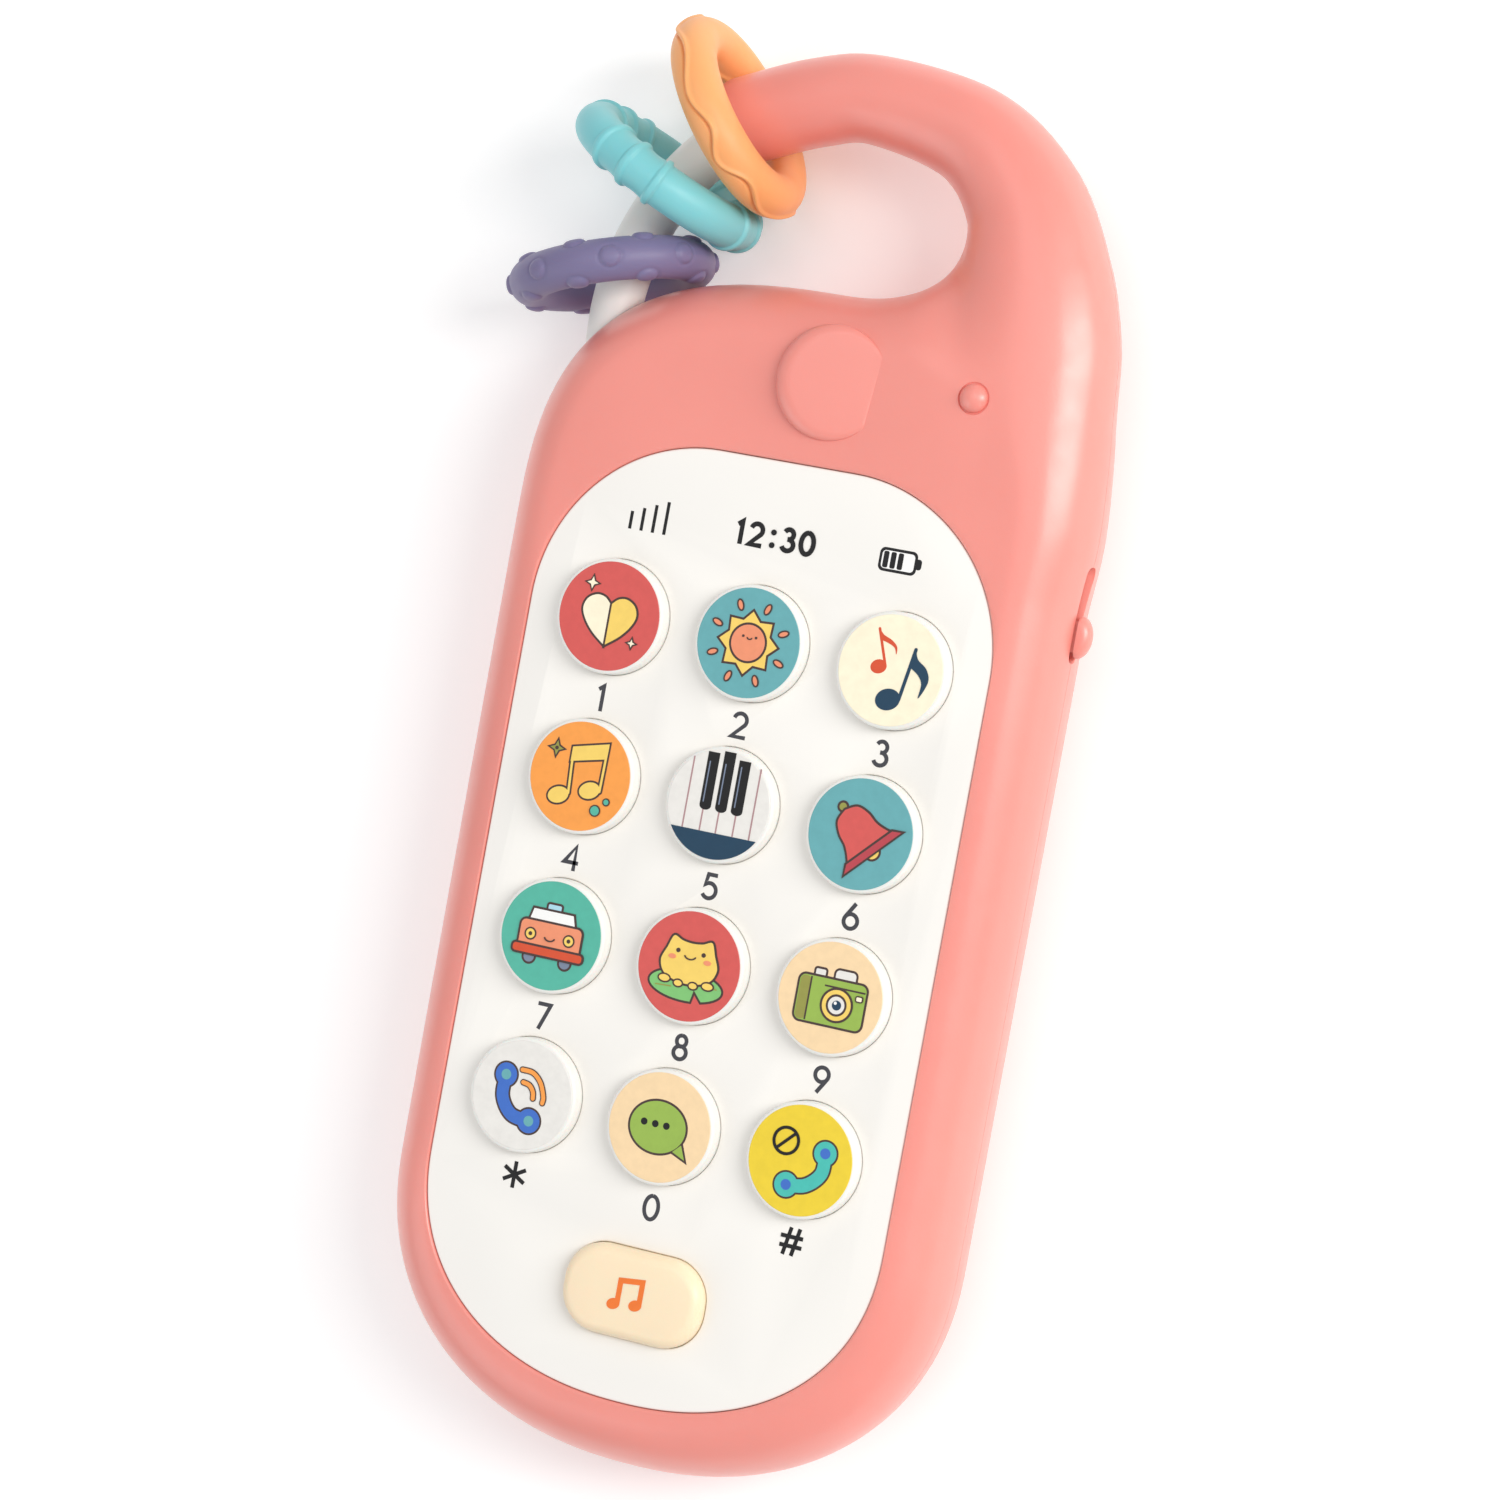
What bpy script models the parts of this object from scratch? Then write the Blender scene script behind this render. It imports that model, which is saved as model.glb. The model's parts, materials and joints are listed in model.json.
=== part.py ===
"""Toy phone whose casing ends in an animal's trunk, with three rings on a bar between trunk and shoulder.

The phone lies on its back: +Z out of its face, +Y towards the trunk, +X to the side of the slide switch.
The origin is on the flat of the back, under the middle of the button grid.
Lengths are in millimetres, and mesh_object turns them into metres.
"""

import math

import bmesh
import bpy
from mathutils import Vector

MM = 0.001
GAP = 0.3  # clearance between neighbouring pieces

# Casing
HALF_WIDTH = 37.5
TOP_CENTRE_Y, TOP_REACH, TOP_POWER = 40.0, 33.9, 2.8
FOOT_CENTRE_Y, FOOT_REACH, FOOT_POWER = -40.6, 32.4, 2.2
PARTING_Z = 13.2
FACE_Z = 21.9
FRONT_ROUNDING = 7.5
REAR_ROUNDING = 10.0
WALL = 2.0
OUTLINE_STEPS = 12  # points in each quarter of the outline
ROUNDING_STEPS = 4
FRONT_LOW_Z = PARTING_Z + GAP / 2
REAR_HIGH_Z = PARTING_Z - GAP / 2

# Trunk: x, y and half its width, from inside the casing to the tip
TRUNK = (
    (23.6, 52.0, 12.2),
    (24.6, 62.0, 12.2),
    (24.8, 72.0, 11.5),
    (24.0, 80.0, 9.5),
    (20.8, 88.6, 7.5),
    (13.0, 95.4, 6.2),
    (0.0, 98.1, 5.5),
    (-8.0, 96.8, 5.5),
    (-15.0, 94.2, 5.5),
)
TRUNK_MOST_DEPTH = 8.5

# Ring bar: an arc that leaves the trunk's tip and enters the left shoulder
BAR_CENTRE = (1.5, 66.6)
BAR_REACH = 31.6
BAR_RADIUS = 3.2
BAR_START_DEG, BAR_END_DEG = 112.0, 196.0
BAR_KNOB_RADIUS = 4.2
BAR_KNOB_DEG = 3.7

# Rings: centre x, y and the heading of the axis, in degrees from +X
RINGS = {
    "orange_ring": (-17.9, 93.4, 34.0, 13.8, 3.15),
    "teal_ring": (-25.9, 85.0, 62.0, 13.9, 3.1),
    "purple_ring": (-31.0, 71.9, 108.0, 13.4, 3.0),
}
RING_Z = 14.1

# Face panel
PANEL_HALF_WIDTH = 30.66
PANEL_TOP_Y = 52.4
PANEL_CORNER = 21.6
PANEL_FOOT_CENTRE_Y, PANEL_FOOT_REACH = -39.0, 25.4
PANEL_HIGH_Z = 21.7
PANEL_LOW_Z = 20.2
FLOOR_HIGH_Z = PANEL_LOW_Z - GAP
FLOOR_LOW_Z = 18.3

# Buttons
COLUMN_PITCH = 18.8
ROW_PITCH = 20.0
BUTTON_ROWS = (("1", "2", "3"), ("4", "5", "6"), ("7", "8", "9"), ("star", "0", "hash"))
BUTTON_RADIUS = 7.15
BUTTON_HOLE_RADIUS = 7.5
BUTTON_TOP_Z = 23.8
FLANGE_RADIUS = 8.3
FLANGE_HIGH_Z = FLOOR_LOW_Z - GAP
FLANGE_LOW_Z = 17.3
ROUND_STEPS = 18
MODE_Y = -51.0
MODE_SIZE = (18.6, 11.1)
MODE_CORNER = 5.0

# Ear and eye
EAR_CENTRE = (3.8, 62.8)
EAR_RADIUS = 7.1
EAR_RIGHT_X = 9.4
EAR_LEFT_RISE, EAR_RIGHT_RISE = 1.5, 0.1
EYE_CENTRE = (22.2, 63.8)
EYE_RADIUS = 2.1

# Side switch
SLOT_Y = (34.8, 46.1)
SLOT_Z = (11.6, 14.8)
KNOB_LENGTH = 5.2
KNOB_OUT_X = 39.3

# Electronics
BOARD_HALF_WIDTH = 25.5
BOARD_LOW_Z, BOARD_HIGH_Z = 14.0, 15.0
SHEET_LOW_Z, SHEET_HIGH_Z = 15.3, 15.7
DOME_RADIUS, DOME_HIGH_Z = 4.0, 16.0
SPEAKER_CENTRE = (0.0, 24.0)
SPEAKER_RADIUS = 13.5

# Batteries, across the back
BAY_HALF_LENGTH = 24.6
BAY_Y = (-33.0, -10.5)
BAY_HIGH_Z = 12.8
BATTERY_RADIUS = 5.25
BATTERY_LENGTH = 43.7
BATTERY_Z = 7.25
BATTERY_YS = (-16.25, -27.25)
DOOR_HALF_WIDTH = 26.0
DOOR_Y = (-35.0, -8.5)
DOOR_Z = (0.2, 1.7)
DOOR_SCREW = (0.0, -37.0)
DOOR_TAB_RADIUS = 4.6

# Screws
CASE_SCREWS = ((-15.0, 58.0), (15.0, 58.0), (-17.0, -54.0), (17.0, -54.0))
SCREW_HEAD_RADIUS, SCREW_RADIUS = 2.7, 1.4
SCREW_SEAT_Z = 6.0
SCREW_END_Z = 16.0
BOSS_RADIUS = 4.6

COLOURS = {
    "pink": (0.89, 0.32, 0.27, 0.45),
    "panel_white": (0.95, 0.94, 0.91, 0.35),
    "cap_white": (0.93, 0.92, 0.89, 0.35),
    "cream": (0.98, 0.82, 0.60, 0.4),
    "bar_white": (0.83, 0.81, 0.78, 0.4),
    "orange": (0.97, 0.48, 0.18, 0.5),
    "teal": (0.22, 0.60, 0.64, 0.5),
    "purple": (0.19, 0.16, 0.28, 0.5),
    "silicone": (0.80, 0.80, 0.78, 0.6),
    "board_green": (0.04, 0.24, 0.10, 0.5),
    "black": (0.02, 0.02, 0.02, 0.5),
    "steel": (0.60, 0.60, 0.60, 0.3),
    "battery_jacket": (0.05, 0.18, 0.42, 0.35),
    "wire_red": (0.60, 0.03, 0.03, 0.5),
}


def clear_scene():
    for obj in list(bpy.data.objects):
        bpy.data.objects.remove(obj)


def material(name):
    made = bpy.data.materials.get(name)
    if made:
        return made
    made = bpy.data.materials.new(name)
    made.use_nodes = True
    shader = made.node_tree.nodes["Principled BSDF"]
    red, green, blue, roughness = COLOURS[name]
    shader.inputs["Base Color"].default_value = (red, green, blue, 1.0)
    shader.inputs["Roughness"].default_value = roughness
    shader.inputs["Metallic"].default_value = 1.0 if name == "steel" else 0.0
    return made


def mesh_object(name, vertices, faces, colour, location=(0, 0, 0), rotation=(0, 0, 0)):
    """A named object from points in millimetres, with its faces turned outwards."""
    mesh = bpy.data.meshes.new(name)
    mesh.from_pydata([Vector(point) * MM for point in vertices], [], faces)
    work = bmesh.new()
    work.from_mesh(mesh)
    bmesh.ops.recalc_face_normals(work, faces=work.faces)
    work.to_mesh(mesh)
    work.free()
    mesh.shade_smooth()
    mesh.set_sharp_from_angle(angle=math.radians(35))
    mesh.materials.append(material(colour))
    obj = bpy.data.objects.new(name, mesh)
    obj.location = Vector(location) * MM
    obj.rotation_euler = rotation
    bpy.context.collection.objects.link(obj)
    return obj


def loft(name, rings, colour="pink", **place):
    """A closed solid through rings of equally many points, capped at both ends."""
    count = len(rings[0])
    vertices = [point for ring in rings for point in ring]
    faces = [tuple(range(count)), tuple(range((len(rings) - 1) * count, len(rings) * count))]
    for row in range(len(rings) - 1):
        for i in range(count):
            j = (i + 1) % count
            low, high = row * count, (row + 1) * count
            faces.append((low + i, low + j, high + j, high + i))
    return mesh_object(name, vertices, faces, colour, **place)


def prism(name, outline, low_z, high_z, colour="pink", **place):
    return loft(name, [[(x, y, z) for x, y in outline] for z in (low_z, high_z)], colour, **place)


def box(name, low, high, colour="pink", **place):
    corners = [(low[0], low[1]), (high[0], low[1]), (high[0], high[1]), (low[0], high[1])]
    return prism(name, corners, low[2], high[2], colour, **place)


def circle(centre, radius, steps=ROUND_STEPS):
    turns = [2 * math.pi * i / steps for i in range(steps)]
    return [(centre[0] + radius * math.cos(t), centre[1] + radius * math.sin(t)) for t in turns]


def turned(name, profile, colour, steps=ROUND_STEPS, **place):
    """A solid turned about Z, from (radius, z) pairs that start and end off the axis."""
    rings = [[(x, y, z) for x, y in circle((0, 0), radius, steps)] for radius, z in profile]
    return loft(name, rings, colour, **place)


def cylinder(name, centre, radius, low_z, high_z, colour="pink", steps=ROUND_STEPS):
    return prism(name, circle(centre, radius, steps), low_z, high_z, colour)


def tube(name, path, radii, sides, colour="pink", closed=False, **place):
    """A round tube along points in space, its rings square to the path."""
    path = [Vector(point) for point in path]
    rings = []
    for i, point in enumerate(path):
        if closed:
            along = path[(i + 1) % len(path)] - path[i - 1]
        else:
            along = path[min(i + 1, len(path) - 1)] - path[max(i - 1, 0)]
        turn = along.to_track_quat("Z", "Y")
        rings.append(
            [tuple(point + turn @ Vector((x, y, 0))) for x, y in circle((0, 0), radii[i], sides)]
        )
    return loft(name, rings, colour, **place)


def smooth_path(points, steps):
    """Points along a Catmull-Rom curve through the given ones, whatever their number of coordinates."""
    found = []
    last = len(points) - 1
    for i in range(last):
        a, b = points[max(i - 1, 0)], points[i]
        c, d = points[i + 1], points[min(i + 2, last)]
        for k in range(steps):
            t = k / steps
            found.append(
                tuple(
                    0.5 * (2 * q + (r - p) * t + (2 * p - 5 * q + 4 * r - s) * t**2
                           + (3 * q - p - 3 * r + s) * t**3)
                    for p, q, r, s in zip(a, b, c, d)
                )
            )
    found.append(tuple(points[last]))
    return found


def rounded_rectangle(centre, size, radius, steps=4):
    found = []
    for corner, (sx, sy) in enumerate(((1, 1), (-1, 1), (-1, -1), (1, -1))):
        x = centre[0] + sx * (size[0] / 2 - radius)
        y = centre[1] + sy * (size[1] / 2 - radius)
        for i in range(steps + 1):
            t = math.pi / 2 * (corner + i / steps)
            found.append((x + radius * math.cos(t), y + radius * math.sin(t)))
    return found


def superellipse_point(t, across, reach, power, centre_y):
    c, s = math.cos(t), math.sin(t)
    x = across * math.copysign(abs(c) ** (2 / power), c)
    y = reach * math.copysign(abs(s) ** (2 / power), s)
    return x, centre_y + y


def casing_outline(inset):
    """The casing's outline without its trunk, drawn in by inset all round."""
    found = []
    for i in range(2 * OUTLINE_STEPS + 1):
        t = math.pi * i / (2 * OUTLINE_STEPS)
        found.append(
            superellipse_point(t, HALF_WIDTH - inset, TOP_REACH - inset, TOP_POWER, TOP_CENTRE_Y)
        )
    for i in range(2 * OUTLINE_STEPS + 1):
        t = math.pi + math.pi * i / (2 * OUTLINE_STEPS)
        found.append(
            superellipse_point(t, HALF_WIDTH - inset, FOOT_REACH - inset, FOOT_POWER, FOOT_CENTRE_Y)
        )
    return found


def panel_outline(grow=0.0):
    """The face panel's outline: round-cornered at the top, one deep curve at the foot."""
    radius = PANEL_CORNER + grow
    half = PANEL_HALF_WIDTH + grow
    top_x, top_y = PANEL_HALF_WIDTH - PANEL_CORNER, PANEL_TOP_Y - PANEL_CORNER
    found = []
    for side, start in ((1, 0.0), (-1, math.pi / 2)):
        for i in range(10):
            t = start + math.pi / 2 * i / 9
            found.append((side * top_x + radius * math.cos(t), top_y + radius * math.sin(t)))
    for i in range(2 * OUTLINE_STEPS + 1):
        t = math.pi + math.pi * i / (2 * OUTLINE_STEPS)
        found.append(
            superellipse_point(t, half, PANEL_FOOT_REACH + grow, FOOT_POWER, PANEL_FOOT_CENTRE_Y)
        )
    return found


def casing_rings(high_z, depth, rounding, inset=0.0, limit_z=None):
    """Rings from the parting plane to the face (depth > 0) or to the back (depth < 0)."""
    rings = []
    for i in range(ROUNDING_STEPS + 1):
        t = math.pi / 2 * i / ROUNDING_STEPS
        drawn_in = inset + rounding * (1 - math.cos(t))
        z = high_z + depth * math.sin(t)
        if limit_z is not None and (z - limit_z) * depth >= 0:
            rings.append([(x, y, limit_z) for x, y in casing_outline(drawn_in)])
            break
        rings.append([(x, y, z) for x, y in casing_outline(drawn_in)])
    return rings


def half_trunk(name, base_z, side):
    """One half of the trunk: an arched bar with its flat side on the parting plane."""
    path = smooth_path(TRUNK, 3)
    rings = []
    for i, (x, y, half) in enumerate(path):
        before, after = path[max(i - 1, 0)], path[min(i + 1, len(path) - 1)]
        along = Vector((after[0] - before[0], after[1] - before[1])).normalized()
        depth = TRUNK_MOST_DEPTH * math.tanh(half / TRUNK_MOST_DEPTH) * 1.12
        ring = []
        for k in range(9):
            t = math.pi * k / 8
            out = half * math.cos(t)
            ring.append((x - along.y * out, y + along.x * out, base_z + side * depth * math.sin(t)))
        rings.append(ring)
    return loft(name, rings)


def bar_point(degrees):
    t = math.radians(degrees)
    return BAR_CENTRE[0] + BAR_REACH * math.cos(t), BAR_CENTRE[1] + BAR_REACH * math.sin(t)


def bar_tube(name, grow, colour):
    """The ring bar, with a thick knob at each end that the casing halves trap."""
    steps = 19
    angles = [BAR_START_DEG + (BAR_END_DEG - BAR_START_DEG) * i / steps for i in range(steps + 1)]
    path = [(*bar_point(angle), PARTING_Z) for angle in angles]
    radii = []
    for angle in angles:
        at_end = min(angle - BAR_START_DEG, BAR_END_DEG - angle) < BAR_KNOB_DEG
        radii.append((BAR_KNOB_RADIUS if at_end else BAR_RADIUS) + grow)
    return tube(name, path, radii, 10, colour)


def hide(cutter):
    cutter.hide_render = True
    cutter.display_type = "WIRE"
    return cutter


def combine(obj, operation, *others):
    for other in others:
        change = obj.modifiers.new(f"{operation.lower()} {other.name}", "BOOLEAN")
        change.operation = operation
        change.solver = "EXACT"
        change.object = hide(other)


def cut(obj, *others):
    combine(obj, "DIFFERENCE", *others)


def join(obj, *others):
    combine(obj, "UNION", *others)


def button_places():
    for row, names in enumerate(BUTTON_ROWS):
        for column, name in enumerate(names):
            yield name, ((column - 1) * COLUMN_PITCH, (1.5 - row) * ROW_PITCH)


def switch_slot(name):
    return box(name, (33.0, SLOT_Y[0], SLOT_Z[0]), (42.0, SLOT_Y[1], SLOT_Z[1]))


def ear():
    """A round ear cut straight on its right, highest on its left edge."""
    start = math.acos((EAR_RIGHT_X - EAR_CENTRE[0]) / EAR_RADIUS)
    outline = []
    for i in range(17):
        t = start + (2 * math.pi - 2 * start) * i / 16
        outline.append(
            (EAR_CENTRE[0] + EAR_RADIUS * math.cos(t), EAR_CENTRE[1] + EAR_RADIUS * math.sin(t))
        )
    left_x = EAR_CENTRE[0] - EAR_RADIUS

    def rise(x):
        share = (x - left_x) / (EAR_RIGHT_X - left_x)
        return EAR_LEFT_RISE + (EAR_RIGHT_RISE - EAR_LEFT_RISE) * share

    low = [(x, y, FACE_Z - 1.5) for x, y in outline]
    high = [(x, y, FACE_Z + rise(x)) for x, y in outline]
    return loft("ear_relief", [low, high])


def eye():
    profile = [(EYE_RADIUS, -1.0), (EYE_RADIUS, 0.3), (EYE_RADIUS * 0.75, 0.9), (0.5, 1.2)]
    return turned("eye_dome", profile, "pink", 12, location=(*EYE_CENTRE, FACE_Z))


def front_shell():
    shell = loft("front_shell", casing_rings(FRONT_LOW_Z, FACE_Z - FRONT_LOW_Z, FRONT_ROUNDING))
    join(shell, half_trunk("front_trunk_half", FRONT_LOW_Z, 1))
    rings = casing_rings(FRONT_LOW_Z, FACE_Z - FRONT_LOW_Z, FRONT_ROUNDING, WALL, FLOOR_LOW_Z)
    rings.insert(0, [(x, y, REAR_HIGH_Z - 1) for x, y, _ in rings[0]])
    cut(shell, loft("front_cavity", rings))
    for i, place in enumerate(CASE_SCREWS):
        join(shell, cylinder(f"front_boss_{i}", place, 3.6, FRONT_LOW_Z, FLOOR_LOW_Z + 0.6, steps=12))
        cut(shell, cylinder(f"pilot_hole_{i}", place, SCREW_RADIUS + GAP, 10.0, 17.0, steps=10))
    cut(shell, prism("panel_recess", panel_outline(GAP), FLOOR_HIGH_Z, 26.0))
    for name, place in button_places():
        cut(shell, cylinder(f"floor_hole_{name}", place, BUTTON_HOLE_RADIUS, 17.0, 21.0))
    cut(shell, mode_hole("floor_hole_mode", 17.0, 21.0))
    join(shell, ear(), eye())
    cut(shell, switch_slot("front_slot"), bar_tube("front_bar_socket", GAP, "pink"))
    return shell


def mode_hole(name, low_z, high_z):
    size = (MODE_SIZE[0] + 0.8, MODE_SIZE[1] + 0.8)
    return prism(name, rounded_rectangle((0, MODE_Y), size, MODE_CORNER), low_z, high_z)


def door_recess():
    low = (-DOOR_HALF_WIDTH - GAP, DOOR_Y[0] - GAP, -2.0)
    return box("door_recess", low, (DOOR_HALF_WIDTH + GAP, DOOR_Y[1] + GAP, DOOR_Z[1] + 0.2))


def speaker_holes(shell):
    places = [SPEAKER_CENTRE]
    places += circle(SPEAKER_CENTRE, 4.0, 6) + circle(SPEAKER_CENTRE, 8.0, 10)
    for i, place in enumerate(places):
        cut(shell, cylinder(f"speaker_hole_{i}", place, 0.95, -1.0, 3.0, steps=6))


def rear_shell():
    shell = loft("rear_shell", casing_rings(REAR_HIGH_Z, -REAR_HIGH_Z, REAR_ROUNDING))
    join(shell, half_trunk("rear_trunk_half", REAR_HIGH_Z, -1))
    rings = casing_rings(REAR_HIGH_Z, -REAR_HIGH_Z, REAR_ROUNDING, WALL, WALL)
    rings.insert(0, [(x, y, FRONT_LOW_Z + 1) for x, y, _ in rings[0]])
    cut(shell, loft("rear_cavity", rings))
    bay_wall = 1.3
    join(
        shell,
        box(
            "bay_walls",
            (-BAY_HALF_LENGTH - bay_wall, BAY_Y[0] - bay_wall, 1.0),
            (BAY_HALF_LENGTH + bay_wall, BAY_Y[1] + bay_wall, BAY_HIGH_Z + 0.8),
        ),
        box("door_frame", (-28.0, DOOR_Y[0] - 2.0, 0.8), (28.0, DOOR_Y[1] + 2.0, 3.8)),
        cylinder("door_boss", DOOR_SCREW, 6.2, 0.8, 9.0, steps=16),
        cylinder("speaker_rim", SPEAKER_CENTRE, SPEAKER_RADIUS + 1.7, 1.0, 6.0, steps=24),
    )
    cut(
        shell,
        box("bay", (-BAY_HALF_LENGTH, BAY_Y[0], -2.0), (BAY_HALF_LENGTH, BAY_Y[1], BAY_HIGH_Z)),
        door_recess(),
        cylinder("tab_recess", DOOR_SCREW, DOOR_TAB_RADIUS + GAP, -2.0, DOOR_Z[1] + 0.2, steps=16),
        cylinder("door_pilot_hole", DOOR_SCREW, SCREW_RADIUS + GAP, 0.0, 8.0, steps=10),
        cylinder("speaker_seat", SPEAKER_CENTRE, SPEAKER_RADIUS + GAP, WALL, 8.0, steps=24),
    )
    for i, place in enumerate(CASE_SCREWS):
        join(shell, cylinder(f"rear_boss_{i}", place, BOSS_RADIUS, 1.0, REAR_HIGH_Z, steps=12))
        cut(
            shell,
            cylinder(f"head_recess_{i}", place, SCREW_HEAD_RADIUS + 0.6, -1.0, SCREW_SEAT_Z, steps=14),
            cylinder(f"screw_hole_{i}", place, SCREW_RADIUS + GAP, 5.0, 15.0, steps=10),
        )
    speaker_holes(shell)
    cut(shell, switch_slot("rear_slot"), bar_tube("rear_bar_socket", GAP, "pink"))
    return shell


def face_panel():
    panel = prism("face_panel", panel_outline(), PANEL_LOW_Z, PANEL_HIGH_Z, "panel_white")
    for name, place in button_places():
        cut(panel, cylinder(f"panel_hole_{name}", place, BUTTON_HOLE_RADIUS, 19.0, 23.0))
    cut(panel, mode_hole("panel_hole_mode", 19.0, 23.0))


def buttons():
    profile = [
        (FLANGE_RADIUS, FLANGE_LOW_Z),
        (FLANGE_RADIUS, FLANGE_HIGH_Z),
        (BUTTON_RADIUS, FLANGE_HIGH_Z),
        (BUTTON_RADIUS, BUTTON_TOP_Z - 1.7),
        (BUTTON_RADIUS - 0.35, BUTTON_TOP_Z - 0.8),
        (BUTTON_RADIUS - 1.6, BUTTON_TOP_Z - 0.2),
        (1.5, BUTTON_TOP_Z),
    ]
    for name, place in button_places():
        turned(f"button_{name}", profile, "cap_white", location=(*place, 0))


def mode_button():
    """The long button at the foot of the panel, with a flange below the casing's floor."""
    steps = [
        (2.2, FLANGE_LOW_Z),
        (2.2, FLANGE_HIGH_Z),
        (0.0, FLANGE_HIGH_Z),
        (0.0, BUTTON_TOP_Z - 1.9),
        (-0.6, BUTTON_TOP_Z - 0.8),
        (-2.4, BUTTON_TOP_Z - 0.1),
    ]
    rings = []
    for grow, z in steps:
        size = (MODE_SIZE[0] + grow, MODE_SIZE[1] + grow)
        outline = rounded_rectangle((0, 0), size, MODE_CORNER + grow / 2)
        rings.append([(x, y, z) for x, y in outline])
    loft("mode_button", rings, "cream", location=(0, MODE_Y, 0))


def ring_bar():
    bar_tube("ring_bar", 0.0, "bar_white")


def rings():
    for name, (x, y, heading, outer, thickness) in RINGS.items():
        middle = outer - thickness
        steps, sides = 24, 8
        vertices = []
        for across, high in circle((0, 0), thickness, sides):
            vertices += [(px, py, high) for px, py in circle((0, 0), middle + across, steps)]
        faces = []
        for side in range(sides):
            low, up = side * steps, (side + 1) % sides * steps
            for i in range(steps):
                j = (i + 1) % steps
                faces.append((low + i, low + j, up + j, up + i))
        turn = (0, math.radians(90), math.radians(heading))
        mesh_object(name, vertices, faces, name.split("_")[0], (x, y, RING_Z), turn)


def board_outline(half, foot_y, tab_x, tab_y):
    """The circuit board or keypad sheet: wide under the grid, narrow under the mode button."""
    top_y, neck_y, foot_half = 48.0, -44.0, 11.8
    return [
        (foot_half, foot_y),
        (foot_half, neck_y),
        (half, neck_y),
        (half, tab_y[0]),
        (tab_x, tab_y[0]),
        (tab_x, tab_y[1]),
        (half, tab_y[1]),
        (half, top_y),
        (-half, top_y),
        (-half, neck_y),
        (-foot_half, neck_y),
        (-foot_half, foot_y),
    ]


def electronics():
    outline = board_outline(BOARD_HALF_WIDTH, -60.0, 31.0, (33.5, 47.0))
    prism("circuit_board", outline, BOARD_LOW_Z, BOARD_HIGH_Z, "board_green")
    outline = board_outline(BOARD_HALF_WIDTH - 0.5, -59.0, BOARD_HALF_WIDTH - 0.2, (33.5, 47.0))
    sheet = prism("keypad_membrane", outline, SHEET_LOW_Z, SHEET_HIGH_Z, "silicone")
    for name, place in list(button_places()) + [("mode", (0, MODE_Y))]:
        join(sheet, cylinder(f"dome_{name}", place, DOME_RADIUS, SHEET_LOW_Z + 0.1, DOME_HIGH_Z, steps=8))
    turned(
        "sound_chip",
        [(4.5, -1.3), (6.0, -0.2), (6.0, 0.0)],
        "black",
        16,
        location=(0, 4.0, BOARD_LOW_Z - GAP),
    )
    profile = [
        (SPEAKER_RADIUS, 2.3),
        (SPEAKER_RADIUS, 4.3),
        (SPEAKER_RADIUS - 3.5, 6.3),
        (6.5, 6.6),
        (6.5, 9.6),
    ]
    turned("speaker", profile, "black", 24, location=(*SPEAKER_CENTRE, 0))
    box("slide_switch", (25.9, 34.2, 9.8), (31.0, 46.6, BOARD_LOW_Z - GAP), "steel")


def switch_knob():
    middle_y = SLOT_Y[0] + 0.5 + KNOB_LENGTH / 2
    middle_z = sum(SLOT_Z) / 2
    height = SLOT_Z[1] - SLOT_Z[0] - 2 * GAP
    rings = []
    for x, trim in ((34.2, 0.0), (KNOB_OUT_X - 0.6, 0.0), (KNOB_OUT_X, 0.6)):
        size = (KNOB_LENGTH - 2 * trim, height - trim)
        outline = rounded_rectangle((0, 0), size, 0.8, 3)
        rings.append([(x, y, z) for y, z in outline])
    knob = loft("switch_knob", rings, location=(0, middle_y, middle_z))
    plate = box("knob_plate", (31.6, -3.4, -2.2), (34.6, 3.4, 2.2), location=knob.location / MM)
    join(knob, plate)


def screw(name, place, head_low_z, end_z):
    """A pan-head screw, driven from the back, with a crossed recess in its head."""
    head_high_z = head_low_z + 1.8
    profile = [
        (SCREW_HEAD_RADIUS - 0.5, head_low_z),
        (SCREW_HEAD_RADIUS, head_low_z + 0.7),
        (SCREW_HEAD_RADIUS, head_high_z),
        (SCREW_RADIUS, head_high_z),
        (SCREW_RADIUS, end_z - 1.0),
        (0.5, end_z),
    ]
    made = turned(name, profile, "steel", 14, location=(*place, 0))
    for axis, half in (("x", (1.6, 0.35)), ("y", (0.35, 1.6))):
        low = (-half[0], -half[1], head_low_z - 1.0)
        high = (half[0], half[1], head_low_z + 0.8)
        cut(made, box(f"{name}_slot_{axis}", low, high, location=(*place, 0)))


def screws():
    for i, place in enumerate(CASE_SCREWS):
        screw(f"case_screw_{i + 1}", place, SCREW_SEAT_Z - 2.1, SCREW_END_Z)
    screw("door_screw", DOOR_SCREW, 0.1, 7.5)


def battery_door():
    low = (-DOOR_HALF_WIDTH, DOOR_Y[0], DOOR_Z[0])
    door = box("battery_door", low, (DOOR_HALF_WIDTH, DOOR_Y[1], DOOR_Z[1]))
    join(door, cylinder("door_tab", DOOR_SCREW, DOOR_TAB_RADIUS, *DOOR_Z, steps=16))
    cut(door, cylinder("door_screw_hole", DOOR_SCREW, SCREW_HEAD_RADIUS + GAP, -1.0, 3.0, steps=14))
    for i in range(3):
        x = 3.0 * (i - 1)
        cut(door, box(f"thumb_groove_{i}", (x - 0.6, -32.0, -1.0), (x + 0.6, -26.0, 0.7)))


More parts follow.
